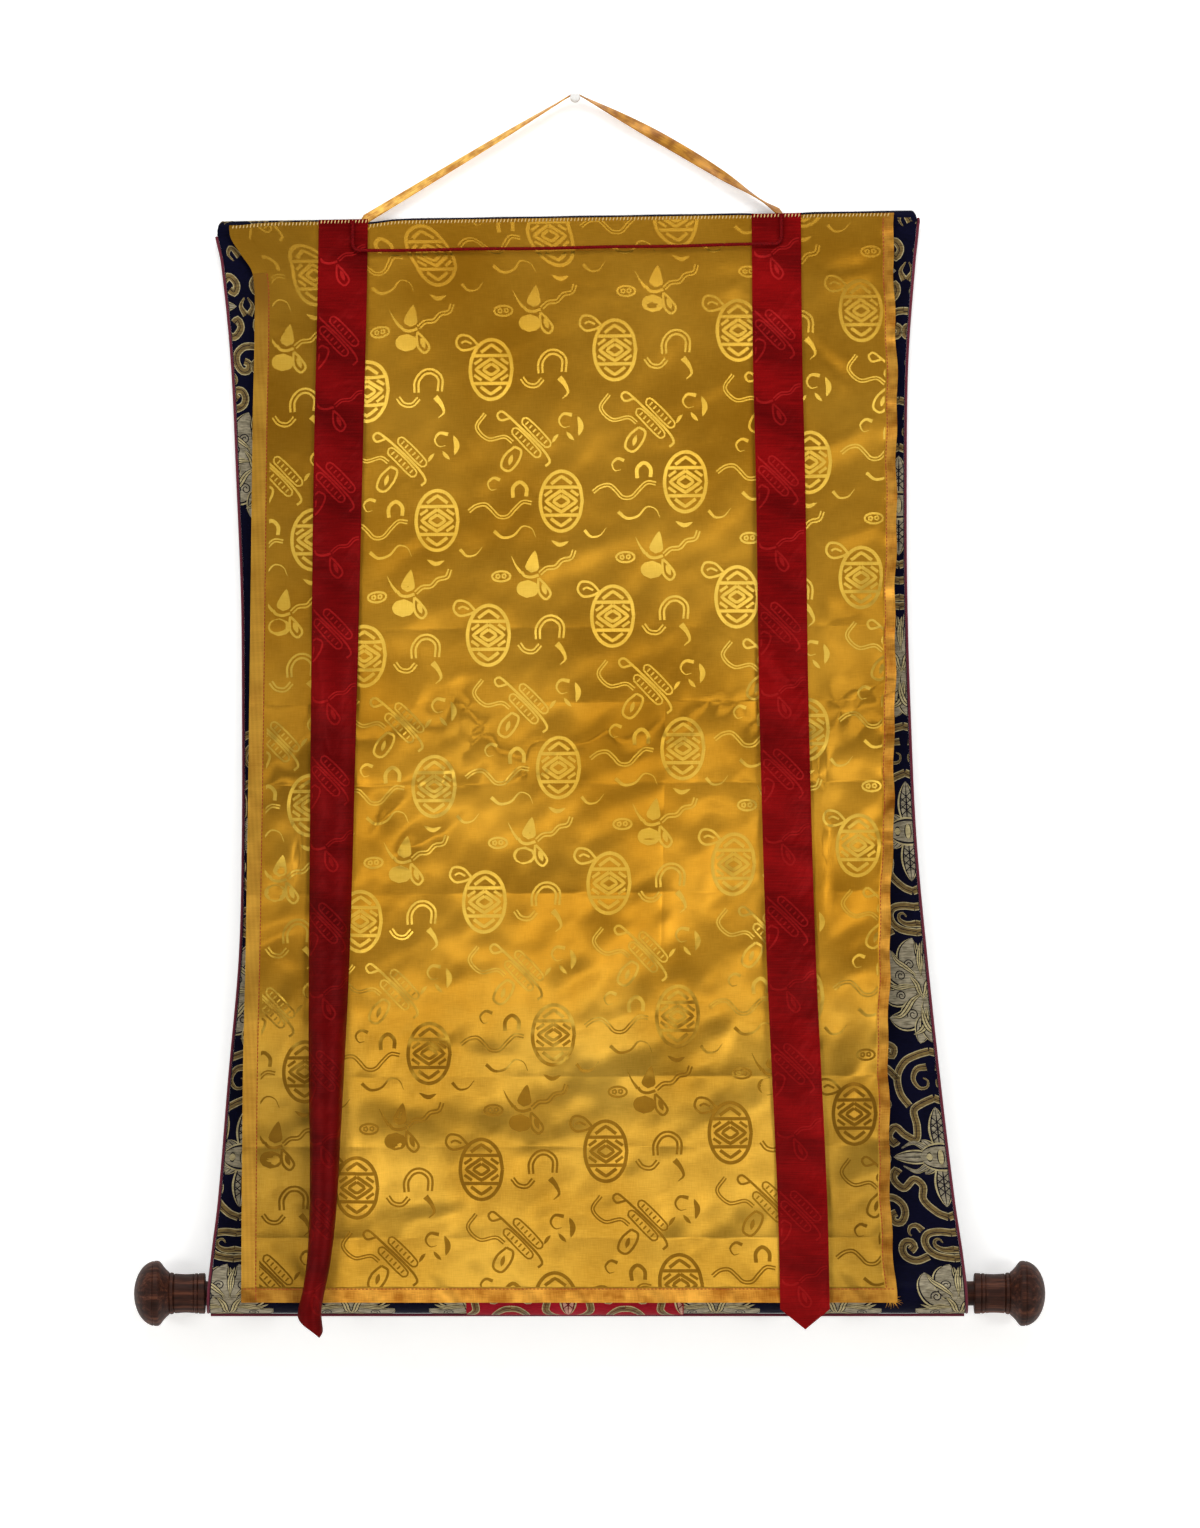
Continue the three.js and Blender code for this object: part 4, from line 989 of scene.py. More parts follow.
def ribbed_bar(bm, x, y):
    way = np.array(BAR_WAY)
    side = np.array([-way[1], way[0]])
    half, wide, tip = BAR_HALF, BAR_WIDE, BAR_HALF + BAR_TIP
    corners = [(-half, -wide), (half, -wide), (tip, 0), (half, wide), (-half, wide), (-tip, 0)]
    corners.append(corners[0])
    stroke(bm, [np.array([x, y]) + way * a + side * b for a, b in corners], BAR_LINE)
    for along in np.linspace(-half * RIB_SPREAD, half * RIB_SPREAD, RIBS):
        middle = np.array([x, y]) + way * along
        stroke(bm, [middle - side * RIB_HALF, middle, middle + side * RIB_HALF], RIB_LINE)


def damask_unit():
    unit = bmesh.new()
    for x, y in MEDALLION_PLACES:
        for width, points in MEDALLION:
            stroke(unit, moved(points, x, y), width * FIGURE_WEIGHT)
    for width, shape, bands, points in EMBLEMS:
        stroke(unit, points, width * FIGURE_WEIGHT, shape, bands)
    for x, y in BAR_PLACES:
        ribbed_bar(unit, x, y)
    return unit


print("damask unit:", len(MEDALLION_PLACES), "medallions and", len(EMBLEMS), "strokes of other figures")

# %% [markdown]
# The weaver's repeat is a slanted lattice, one step across and a little up at a time. Copies of the
# unit fall on it, a trim takes off what would run into the hems, and the drawing is hung with the
# same function that hung the veil, so it follows every crease.

# %% Damask laid on the veil
LATTICE_STEP, LATTICE_RISE, LATTICE_DROP = 112.5, 16.2, 240.0
LATTICE_START, LATTICE_COLUMNS, LATTICE_ROWS = (-77.4, -245.7), range(-3, 5), range(-2, 5)
FIGURE_GAP, HEM_GAP = 3.0, 1.0


def lattice_places():
    """Where the unit falls, measured across and up on the flat veil."""
    places = []
    for column in LATTICE_COLUMNS:
        for row in LATTICE_ROWS:
            x = LATTICE_START[0] + column * LATTICE_STEP
            z = LATTICE_START[1] + column * LATTICE_RISE - row * LATTICE_DROP
            places.append((x - veil_left(MIDDLE_Z), z - VEIL_FOOT_Z))
    return places


def damask_bm():
    unit = damask_unit()
    bm = repeat(unit, lattice_places())
    unit.free()
    right, foot = VEIL_WIDTH - SIDE_HEM - HEM_GAP, FOOT_HEM + HEM_GAP
    trim(bm, SELVEDGE + FIGURE_GAP, right, foot, VEIL_LENGTH - FIGURE_GAP)
    keep_flat(bm)
    hang(bm, veil_place)
    return bm


figures = piece("veil_damask", damask_bm(), [figure_silk], "veil_silk")

# %% [markdown]
# The veil's stitching is real thread. Dashed lines hold the selvedge, the foot hem and the side hem,
# and slanted overcast stitches sew the top edge to the mount. Each stitch is one short stroke, and
# so is each loose thread at the frayed corner.

# %% Veil stitches
STITCH_LIFT = 0.45
DASH = {"pitch": 3.4, "length": 2.9, "width": 0.95, "step": 1.2}
OVERCAST = {"pitch": 3.1, "length": 3.4, "width": 1.0, "slant": 0.9, "over": 0.3, "step": 1.8}
LINE_IN, SEAM_IN, SIDE_LINE_TOP, TOP_IN = 2.0, 0.8, 4.0, 3.0
FRAY_WIDTH, FRAY_STEP, FRAY_SAG = 0.7, 1.5, (0.3, -0.2)
FRAY = table(
    "across up turn length",
    (584, 3, -12, 5), (584, 1, -34, 6), (583, 0, -58, 6), (581, 0, -76, 5), (578, 0, -98, 4), (584, 5, 8, 4),
    (582, 0, -48, 7), (579, 0, -84, 6), (584, 2, -22, 7), (576, 0, -106, 5),
)


def stitch(bm, first, last, look):
    first, last = np.array(first), np.array(last)
    stroke(bm, [first, (first + last) / 2, last], look["width"], "leaf", lift=STITCH_LIFT, step=look["step"])


def dashes(bm, start, end):
    start, end = np.array(start, float), np.array(end, float)
    length = np.linalg.norm(end - start)
    way = (end - start) / length
    for at in np.arange(0, length - DASH["length"], DASH["pitch"]):
        stitch(bm, start + way * at, start + way * (at + DASH["length"]), DASH)


def overcast(bm, start, end, up):
    for at in np.arange(start, end, OVERCAST["pitch"]):
        low, high = (at, up - OVERCAST["length"]), (at + OVERCAST["slant"], up + OVERCAST["over"])
        stitch(bm, low, high, OVERCAST)


def stitch_piece(name, draw, finish):
    bm = bmesh.new()
    draw(bm)
    keep_flat(bm)
    hang(bm, veil_place)
    return piece(name, bm, [finish], "veil_silk")


def top_edge(bm):
    overcast(bm, TOP_IN, VEIL_WIDTH - TOP_IN, VEIL_LENGTH)


def hem_lines(bm):
    foot, right = FOOT_HEM - SEAM_IN, VEIL_WIDTH - SIDE_HEM + SEAM_IN
    dashes(bm, (SELVEDGE, LINE_IN), (SELVEDGE, CORNER_FOOT))
    dashes(bm, (LINE_IN, foot), (VEIL_WIDTH - LINE_IN, foot))
    dashes(bm, (right, FOOT_HEM), (right, VEIL_LENGTH - SIDE_LINE_TOP))


def frayed_corner(bm):
    """Loose threads at the lower right corner."""
    for across, up, turn, length in zip(*FRAY.values()):
        way = np.array([math.cos(math.radians(turn)), math.sin(math.radians(turn))]) * length
        start = np.array([across, up])
        thread = [start, start + way / 2 + FRAY_SAG, start + way]
        stroke(bm, thread, FRAY_WIDTH, "taper", lift=STITCH_LIFT, step=FRAY_STEP)


top_stitches = stitch_piece("veil_top_stitches", top_edge, pale_thread)
hem_stitches = stitch_piece("veil_hem_stitches", hem_lines, rust_thread)
loose_threads = stitch_piece("veil_loose_threads", frayed_corner, hem_silk)

# %% [markdown]
# The mount is one long piece of navy brocade. At the top it rolls over a padded hem, at the foot it
# goes once round the dowel and is sewn shut. Its flat height is z on the hanging body; below the
# seam and above the hem's root it goes on as a length of cloth, so the pattern runs round unbroken.

# %% The hung mount
MOUNT_WIDTH, MOUNT_THICK = 640.0, 1.5
PIPING_R, PIPING_GAP, FOOT_PIPING_GAP = 1.35, 0.08, 0.74
EDGE_ROOM, PIPING_ROOM = 2 * PIPING_R + PIPING_GAP, 2 * PIPING_R + FOOT_PIPING_GAP
DOWEL_R, SLEEVE_SLACK = 15.5, 0.7
SLEEVE_R = DOWEL_R + SLEEVE_SLACK + MOUNT_THICK / 2
TANGENT = math.acos(SLEEVE_R / (SEAM_Z - DOWEL_Z))
STRAIGHT = math.sqrt((SEAM_Z - DOWEL_Z) ** 2 - SLEEVE_R**2)
WRAP = SLEEVE_R * (2 * math.pi - 2 * TANGENT)
BACK_SHARE = 0.86
SLEEVE_LENGTH = STRAIGHT + WRAP + STRAIGHT * BACK_SHARE
HEM_ROOT = 15.0
HEM_PATH = np.array([
    (-6.9, -15), (-8.2, -12), (-10.1, -8.4), (-10.25, -5), (-9.3, -2.2), (-6.5, -0.75),
    (-3.7, -2.2), (-2.75, -5), (-3.3, -9), (-5.0, -13),
])
HEM_RUN = run_length(HEM_PATH)
HEM_CREST = HEM_RUN[4]
CORNER_TAPER, CORNER_THIN = 10.0, 0.55
SLOPE_STEP, TINY = 0.4, 1e-9


def sleeve_point(length, radius):
    """Depth, height and outward direction at a length past the seam, down round the dowel."""
    turn = TANGENT + (length - STRAIGHT) / SLEEVE_R
    turn = np.clip(turn, TANGENT, 2 * math.pi - TANGENT)
    out_y, out_z = -np.sin(turn), np.cos(turn)
    before = np.clip(length - STRAIGHT, None, 0)
    after = np.clip(length - STRAIGHT - WRAP, 0, None)
    past = before + after
    y = DOWEL_Y + radius * out_y - past * np.cos(turn)
    z = DOWEL_Z + radius * out_z - past * np.sin(turn)
    return y, z, out_y, out_z


def round_sleeve(up, y, z, out, radius=SLEEVE_R):
    """Below the seam, takes depth, height and outward direction from the way round the dowel."""
    below = up < SEAM_Z
    sleeve_y, sleeve_z, out_y, out_z = sleeve_point(SEAM_Z - up, radius)
    out[:, 1], out[:, 2] = np.where(below, out_y, out[:, 1]), np.where(below, out_z, out[:, 2])
    return np.where(below, sleeve_y, y), np.where(below, sleeve_z, z)


def between_edges(z, share):
    return mix(outline_left(z) + EDGE_ROOM, outline_right(z) - EDGE_ROOM, share)


def hem_point(run):
    return (np.interp(run, HEM_RUN, HEM_PATH[:, way]) for way in (0, 1))


def mount_place(across, up):
    share = across / MOUNT_WIDTH
    hem_x = mix(outline_left(TOP_Z), outline_right(TOP_Z), share)
    root = top_z(hem_x) - HEM_ROOT
    z = np.clip(up, SEAM_Z, root)
    x = between_edges(z, share)
    y = mount_depth(x, z)
    out = np.tile(FRONT, (len(x), 1))
    y, z = round_sleeve(up, y, z, out)
    x = np.where(up < SEAM_Z, between_edges(np.minimum(z, SEAM_Z), share), x)
    over, run = up > root, up - root
    hem_y, hem_rise = hem_point(run)
    ahead_y, ahead_z = hem_point(run + SLOPE_STEP)
    back_y, back_z = hem_point(run - SLOPE_STEP)
    size = np.hypot(ahead_y - back_y, ahead_z - back_z) + TINY
    thin = mix(CORNER_THIN, 1, ease(np.minimum(across, MOUNT_WIDTH - across), 0, CORNER_TAPER))
    hem_z = top_z(hem_x) + hem_rise
    x = np.where(over, between_edges(hem_z, share), x)
    y = np.where(over, HEM_Y + (hem_y - HEM_Y) * thin, y)
    z = np.where(over, hem_z, z)
    out[:, 1] = np.where(over, -(ahead_z - back_z) / size, out[:, 1])
    out[:, 2] = np.where(over, (ahead_y - back_y) / size, out[:, 2])
    return np.stack([x, y, z], 1), out


print("sleeve takes", round(SLEEVE_LENGTH), "mm of cloth")

# %% [markdown]
# Navy satin carries the brocade: scrolling bands of gilt thread with a pale outline, and lotus and
# rosette in silver gilt. Metal thread is flat foil wound on silk, so it gets a metallic finish with
# fine cross lines and some tarnish. The red panel has rose thread in the silver's place.

# %% Brocade finishes
def satin(name, dark, light, rough=0.5):
    finish = Finish(name, {"Anisotropic": 0.4, "Specular IOR Level": 0.04})
    rib = finish.noise(finish.cloth(180.0, 1300.0), 1.0, 3.0)
    slow = finish.noise(finish.cloth(), 14.0, 3.0)
    tone = rib * 0.55 + slow * 0.45
    return finish.feed(
        Base_Color=tone.between(0.3, 0.7).tones(dark, light),
        Roughness=rough + rib * 0.15,
        Normal=finish.bump(rib, 0.3, 0.0004),
    )


def metal_thread(name, dark, light, metallic):
    finish = Finish(name, {"Metallic": metallic})
    lines = finish.noise(finish.cloth(150.0, 720.0), 1.0, 2.0)
    tarnish = finish.noise(finish.cloth(), 120.0, 4.0, 0.6)
    tone = lines * 0.6 + tarnish * 0.4
    return finish.feed(
        Base_Color=tone.between(0.32, 0.68).tones(dark, light),
        Roughness=0.45 + tarnish * 0.25,
        Normal=finish.bump(lines, 0.5, 0.0004),
    )


navy_satin = satin("navy_satin", (3, 3, 16), (9, 9, 34))
red_satin = satin("red_satin", (122, 10, 26), (164, 24, 40))
dark_line = satin("dark_line", (10, 9, 20), (24, 22, 36))
gilt = metal_thread("gilt_thread", (74, 56, 22), (128, 104, 52), 0.45)
pale_gilt = metal_thread("pale_gilt_thread", (140, 126, 84), (196, 182, 136), 0.4)
silver_gilt = metal_thread("silver_gilt_thread", (96, 88, 68), (166, 156, 130), 0.4)
rose_gilt = metal_thread("rose_gilt_thread", (150, 96, 82), (206, 158, 136), 0.35)
wine_line = satin("wine_line", (70, 6, 18), (96, 12, 26))
navy_threads, red_threads = [gilt, pale_gilt, silver_gilt, dark_line], [gilt, pale_gilt, rose_gilt, wine_line]
print("navy threads:", [thread.name for thread in navy_threads])

# %% [markdown]
# One unit of the brocade has a lotus, a rosette above it, and scrolls on both sides. The scrolls
# are drawn on the left and mirrored, as the weaver's drawloom does.

# %% Brocade unit
GILT, PALE, SILVER, DARK = 0, 1, 2, 3
SCROLL_BAND = [
    (-1, -0.78, PALE), (-0.78, -0.3, GILT), (-0.3, 0.1, GILT), (0.1, 0.3, DARK), (0.3, 0.78, GILT),
    (0.78, 1, PALE),
]
CLOUD = [(-1, -0.87, PALE), (-0.87, -0.73, DARK), (-0.73, 0.73, SILVER), (0.73, 0.87, DARK), (0.87, 1, PALE)]
BLADE = [(-1, -0.7, DARK), (-0.7, -0.13, PALE), (-0.13, 0.13, DARK), (0.13, 0.7, PALE), (0.7, 1, DARK)]
VEINED = [
    (-1, -0.8, PALE), (-0.8, -0.62, DARK), (-0.62, -0.08, SILVER), (-0.08, 0.08, DARK), (0.08, 0.62, SILVER),
    (0.62, 0.8, DARK), (0.8, 1, PALE),
]
BEAD = [(-1, -0.7, DARK), (-0.7, 0.7, PALE), (0.7, 1, DARK)]
INK, HEART = [(-1, 1, DARK)], [(-1, 1, SILVER)]
LOTUS_CLOUDS = [
    (22, [(-3, 7), (-10, 21), (-11, 32), (-5, 45)]),
    (22, [(-5, 5), (-19, 11), (-26, 20), (-28, 35)]),
    (20, [(-5, -1), (-20, -7), (-28, -8), (-37, -1)]),
    (24, [(-2, -9), (-11, -24), (-20, -29), (-33, -27)]),
    (16, [(0, -24), (-3, -37), (-7, -50)]),
]
LOTUS_BLADES = [
    (5.5, [(-4, 11), (-14, 19), (-22, 25), (-26, 33)]),
    (6.0, [(-11, 11), (-5, 4), (-3, -3), (1, -10)]),
    (4.5, [(-5, 1), (-14, 1), (-23, 0), (-33, 4)]),
    (6.5, [(-1, -5), (-10, -11), (-16, -19), (-22, -25), (-31, -27)]),
    (6.5, [(2, -17), (1, -28), (-3, -37), (-12, -42)]),
    (5.0, [(0, 12), (1, 26), (-2, 41)]),
]
LOTUS_HEART, HEART_WIDTH, HEART_LIFT = [(-20, -4), (0, -4), (20, -4)], 38, 0.1
CLOUD_LIFT, LAYER = 0.12, 0.02
CURL_TURNS, CURL_RADII, CURL_POINTS = (200, -340), (1.15, 0.28), 15
CURL_SHARE, CURL_WIDTH, CURL_STEP = 0.2, 0.95, 1.4
ROSETTE_AT, PETAL_START = (0.0, 141.0), 3.0
ROSETTE_PETALS = table(
    "lean length width lift",
    (45, 22, 10, 0.12), (135, 22, 10, 0.13), (225, 22, 10, 0.14), (315, 22, 10, 0.15),
    (0, 45, 17, 0.18), (90, 42, 13, 0.19), (180, 45, 17, 0.2), (270, 42, 13, 0.21),
)
HATCHED_LENGTH, HATCHED_WIDTH = 45, 17
HATCH_SHARES, HATCH_RUN, HATCH_REACH = (0.42, 0.56, 0.7), 0.1, 0.3
HATCH_WIDTH, HATCH_LIFT = 0.9, 0.28
ROSETTE_ROUNDS = [
    (0, 18, 26, CLOUD, 0.26, STROKE_STEP), (-10, 3, 9, BEAD, 0.3, 1.5), (10, 3, 9, BEAD, 0.3, 1.5),
]
ROSETTE_EYE, EYE_WIDTH, EYE_LIFT, EYE_STEP = [(0, -7), (0, 0), (0, 7)], 7, 0.32, 1.5
BRACT, BRACT_WIDTH, BRACT_LIFT = [(13, 8), (23, 13), (34, 8)], 6.0, 0.24
SCROLLS = [
    [
        (0, 53), (-11.6, 48), (-19.5, 42), (-18.2, 28), (-20.3, 16), (-29.6, 20), (-37.5, 27), (-44, 20),
        (-41, 12), (-37, 15),
    ],
    [(-38, -15), (-42, -12), (-44, -20), (-36, -28), (-26, -20), (-19, -26), (-20, -38), (-9, -50), (0, -54)],
    [(0, 95), (-11, 92), (-23, 86), (-31, 73), (-30, 57), (-23, 46)],
    [(-31, 70), (-39, 79), (-46, 84), (-46, 94), (-40, 101), (-32, 98), (-34, 91), (-38, 93)],
    [(0, -91), (-14, -88.5), (-21.5, -83), (-23.8, -75), (-20, -69), (-10.5, -67), (0, -68)],
    [
        (-22, -89), (-33, -93), (-41.5, -89.5), (-44, -83), (-41.5, -77), (-36, -76), (-33.5, -80.5),
        (-37, -84),
    ],
    [(-51.5, -36), (-45, -37), (-38.5, -43), (-37.5, -51), (-42, -58.5), (-48, -58), (-49, -52), (-45, -50)],
]
COMMAS = [
    [(-4, 81), (-13, 79), (-17, 70), (-12, 62), (-5, 63), (-4, 69), (-8, 71)],
    [(-50, 45), (-44, 53), (-40, 47), (-44, 41)],
    [(-50, -8), (-46, 0), (-50, 8)],
    [(0, -83), (-6, -83.6), (-11, -82.5), (-15.5, -79), (-15, -74.8), (-11, -73.6), (-8.4, -77)],
    [(-24.5, -66), (-29, -61.5), (-34.5, -62.5), (-36.5, -68), (-34.5, -71)],
]
SCROLL_WIDTH, COMMA_WIDTH, SCROLL_LIFT = 6.8, 6.4, 0.1


def mirrored(bm, points, *look):
    """A stroke and its mirror image about the stem."""
    for side in (1, -1):
        stroke(bm, [(side * x, y) for x, y in points], *look)


def curl(bm, middle, size, side, lift):
    """A small spiral drawn in ink."""
    turns = np.radians(np.linspace(*CURL_TURNS, CURL_POINTS))
    radii = np.linspace(*CURL_RADII, CURL_POINTS) * size
    line = [(side * r * math.cos(t), r * math.sin(t)) for t, r in zip(turns, radii)]
    stroke(bm, moved(line, *middle), CURL_WIDTH, "even", INK, lift, CURL_STEP)


def lotus(bm):
    """Cloud petals with a curl each and pale blades between them, mirrored about the stem."""
    stroke(bm, LOTUS_HEART, HEART_WIDTH, "disc", HEART, HEART_LIFT)
    for side in (1, -1):
        under = CLOUD_LIFT + LAYER / 2 * (1 - side)
        for row, (width, points) in enumerate(LOTUS_CLOUDS):
            line = [(side * x, y) for x, y in points]
            stroke(bm, line, width, "flame", CLOUD, under + 2 * LAYER * row)
            curl(bm, line[1], width * CURL_SHARE, side, under + 2 * LAYER * row + LAYER / 2)
        above = under + 2 * LAYER * len(LOTUS_CLOUDS)
        for row, (width, points) in enumerate(LOTUS_BLADES):
            stroke(bm, [(side * x, y) for x, y in points], width, "leaf", BLADE, above + LAYER * row / 2)


def rosette_petals(bm):
    """Straight veined petals round a middle."""
    base = np.array(ROSETTE_AT)
    for lean, length, width, lift in zip(*ROSETTE_PETALS.values()):
        way = np.array([math.sin(math.radians(lean)), math.cos(math.radians(lean))])
        line = [base + way * PETAL_START, base + way * length * 0.5, base + way * length]
        stroke(bm, line, width, "leaf", VEINED, lift)


def hatched(bm, rise):
    """Crossed ink lines on a rosette's long leaf, above its middle or below it."""
    way, side = np.array([0.0, rise]), np.array([rise, 0.0])
    for share in HATCH_SHARES:
        for sign in (1, -1):
            reach = side * sign * HATCHED_WIDTH * HATCH_REACH
            low = np.array(ROSETTE_AT) + way * HATCHED_LENGTH * (share - HATCH_RUN) + reach
            high = np.array(ROSETTE_AT) + way * HATCHED_LENGTH * (share + HATCH_RUN) - reach
            stroke(bm, [low, (low + high) / 2, high], HATCH_WIDTH, "even", INK, HATCH_LIFT)


def brocade_unit():
    unit = bmesh.new()
    for points in SCROLLS:
        mirrored(unit, moved(points, *ROSETTE_AT), SCROLL_WIDTH, "even", SCROLL_BAND, SCROLL_LIFT)
    for points in COMMAS:
        mirrored(unit, moved(points, *ROSETTE_AT), COMMA_WIDTH, "taper", SCROLL_BAND, SCROLL_LIFT)
    lotus(unit)
    rosette_petals(unit)
    for rise in (1.0, -1.0):
        hatched(unit, rise)
    for x, half, width, bands, lift, step in ROSETTE_ROUNDS:
        line = moved([(x - half, 0), (x, 0), (x + half, 0)], *ROSETTE_AT)
        stroke(unit, line, width, "disc", bands, lift, step)
    for rise in (1, -1):
        bract = moved([(x, rise * y) for x, y in BRACT], *ROSETTE_AT)
        mirrored(unit, bract, BRACT_WIDTH, "taper", VEINED, BRACT_LIFT)
    stroke(unit, moved(ROSETTE_EYE, *ROSETTE_AT), EYE_WIDTH, "disc", BEAD, EYE_LIFT, EYE_STEP)
    return unit


unit = brocade_unit()
print("brocade unit has", len(unit.faces), "faces")

# %% [markdown]
# The unit goes all across the foot and up each side, where the veil leaves the mount bare. The cloth
# bends round the sleeve, so the drawing is cut at even levels there before it is hung.

# %% Navy brocade on the mount
TILE_WIDE, LOTUS_X, BEND_STEP = 103.0, 6.0, 3.0
PATTERN_SHARE, PATTERN_IN = 0.6, 0.6
PATTERN_END = SEAM_Z - STRAIGHT - WRAP * PATTERN_SHARE
MOUNT_GRID = {"across": 91, "sleeve": 72, "body": 110, "hem": 40}
SLEEVE_FROM, BODY_TO, HEM_FROM = 2.0, 14.0, 12.0
FOOT_ROW, LEFT_ROWS, RIGHT_ROWS = (-1097,), (-1097, -808), (-1097, -804, -510)
LEFT_TOP_ROW, RIGHT_TOP_ROW, LONE_LOTUS = (-330,), (-298,), (-3, -330)
BROCADE_COLUMNS = {
    -3.5: LEFT_TOP_ROW, -3: LEFT_ROWS, -2.5: LEFT_TOP_ROW, -2: LEFT_ROWS,
    -1: FOOT_ROW, 0: FOOT_ROW, 1: FOOT_ROW,
    2: RIGHT_ROWS, 2.5: RIGHT_TOP_ROW, 3: RIGHT_ROWS, 3.5: RIGHT_TOP_ROW,
}


def mount_bm():
    root = top_z(0.0) - HEM_ROOT
    across = np.linspace(0, MOUNT_WIDTH, MOUNT_GRID["across"])
    sleeve = SEAM_Z - np.linspace(SLEEVE_LENGTH, SLEEVE_FROM, MOUNT_GRID["sleeve"])
    body = np.linspace(SEAM_Z, root - BODY_TO, MOUNT_GRID["body"])
    hem = np.linspace(root - HEM_FROM, root + HEM_RUN[-1], MOUNT_GRID["hem"])
    bm = flat_grid(across, [*sleeve, *body, *hem])
    keep_flat(bm)
    hang(bm, mount_place)
    bm.normal_update()
    for vert in bm.verts:
        vert.co += vert.normal * MOUNT_THICK / 2 * MM
    thicken(bm, MOUNT_THICK)
    return bm


def brocade_place(column, z):
    return MOUNT_WIDTH / 2 + LOTUS_X + column * TILE_WIDE, z


def brocade_bm(unit):
    bloom = bmesh.new()
    lotus(bloom)
    places = [brocade_place(column, z) for column, rows in BROCADE_COLUMNS.items() for z in rows]
    bm = repeat(unit, places)
    repeat(bloom, [brocade_place(*LONE_LOTUS)], bm)
    bloom.free()
    trim(bm, PATTERN_IN, MOUNT_WIDTH - PATTERN_IN, PATTERN_END, TOP_Z - HEM_ROOT + HEM_CREST)
    cut_level(bm, PATTERN_END, SEAM_Z, BEND_STEP)
    for vert in bm.verts:
        vert.co.z += MOUNT_THICK / 2
    keep_flat(bm)
    hang(bm, mount_place)
    return bm


mount = piece("mount_cloth", mount_bm(), [navy_satin], "navy_brocade", "mount_brocade")
mount_pattern = piece("mount_pattern", brocade_bm(unit), navy_threads, "navy_brocade")
MOUNT_LENGTH = HEM_RUN[-1] + top_z(0.0) - HEM_ROOT - SEAM_Z + SLEEVE_LENGTH
print("mount is", round(float(MOUNT_LENGTH)), "mm long when flat")

# %% [markdown]
# A red panel is let into the foot of the mount. Only its lowest strip shows under the veil, with
# the same lotus and scrolls in gilt and rose. It lies on the mount and goes round the sleeve with it.

# %% Red panel
PANEL_HALF, PANEL_TOP, PANEL_THICK = 97.5, -925.0, 1.0
PANEL_MIDDLE, PANEL_LOTUS_Z = -6.0, -1202.0
PANEL_OFF = MOUNT_THICK / 2 + 2 * CLEAR + PANEL_THICK / 2
PANEL_TURN = math.radians(172)
PANEL_END = (PANEL_TURN - TANGENT) * SLEEVE_R + STRAIGHT
PANEL_COLUMNS, WRAPPED_ROWS, HANGING_ROWS, HANGING_FROM = 40, 30, 24, 2.0
PANEL_IN = {"side": 0.8, "foot": 0.5, "top": 1.0}


def panel_place(across, up):
    z = np.clip(up, SEAM_Z, PANEL_TOP)
    y = mount_depth(across, z) - PANEL_OFF - PANEL_THICK / 2
    out = np.tile(FRONT, (len(across), 1))
    y, z = round_sleeve(up, y, z, out, SLEEVE_R + PANEL_OFF + PANEL_THICK / 2)
    return np.stack([across, y, z], 1), out


def panel_bm():
    across = np.linspace(-PANEL_HALF, PANEL_HALF, PANEL_COLUMNS)
    wrapped = SEAM_Z - np.linspace(PANEL_END, STRAIGHT, WRAPPED_ROWS)
    bm = flat_grid(across, [*wrapped, *np.linspace(SEAM_Z + HANGING_FROM, PANEL_TOP, HANGING_ROWS)])
    keep_flat(bm)
    hang(bm, panel_place)
    thicken(bm, PANEL_THICK)
    return bm


def panel_pattern_bm(unit):
    bm = repeat(unit, [(PANEL_MIDDLE + column * TILE_WIDE, PANEL_LOTUS_Z) for column in (-1, 0, 1)])
    half, foot = PANEL_HALF - PANEL_IN["side"], SEAM_Z - PANEL_END + PANEL_IN["foot"]
    trim(bm, -half, half, foot, PANEL_TOP - PANEL_IN["top"])
    cut_level(bm, SEAM_Z - PANEL_END, SEAM_Z, BEND_STEP)
    keep_flat(bm)
    hang(bm, panel_place)
    return bm


panel = piece("red_panel", panel_bm(), [red_satin], "red_brocade", "door_panel")
panel_pattern = piece("red_panel_pattern", panel_pattern_bm(unit), red_threads, "red_brocade")
unit.free()
PANEL_LENGTH = PANEL_TOP - SEAM_Z + PANEL_END

# %% [markdown]
# Maroon piping covers the raw edges of the mount: a soft cord in its own cloth, sewn on. It is a
# round tube whose surface carries a slanted thread pattern.

# %% Piping
PIPING_TOP = {"left": -126.0, "right": -109.0}
SIDE_PIPING_TURN, FOOT_PIPING_TURN = math.radians(196), math.radians(181)
SIDE_ROWS, TURN_ROWS, FOOT_PIPING_ROWS = 230, 36, 160
ROW_POWER, ABOVE_SEAM = 1.4, 4.0
PIPING_SIDES = 10
NEARLY_FRONT = np.array([0.0, -1.0, 0.001])


def round_rings(points, radius, sides, strands=0, pitch=1.0, depth=0.0):
    """Rings round a line; strands give it the lobes of a twisted cord."""
    along = np.gradient(points, axis=0)
    along /= np.linalg.norm(along, axis=1)[:, None]
    side = np.cross(along, NEARLY_FRONT)
    side /= np.linalg.norm(side, axis=1)[:, None]
    front = np.cross(side, along)
    angle = np.linspace(0, 2 * math.pi, sides, endpoint=False)
    size = np.full((len(points), sides), radius)
    if strands:
        twist = run_length(points)[:, None] / pitch * 2 * math.pi
        size = size * (1 - depth + depth * np.abs(np.cos(strands * (angle[None, :] - twist) / 2)))
    cos, sin = np.cos(angle)[None, :, None], np.sin(angle)[None, :, None]
    around = cos * side[:, None, :] + sin * front[:, None, :]
    return points[:, None, :] + around * size[:, :, None]


PIPING_TONES = ((66, 6, 26), (118, 18, 46))


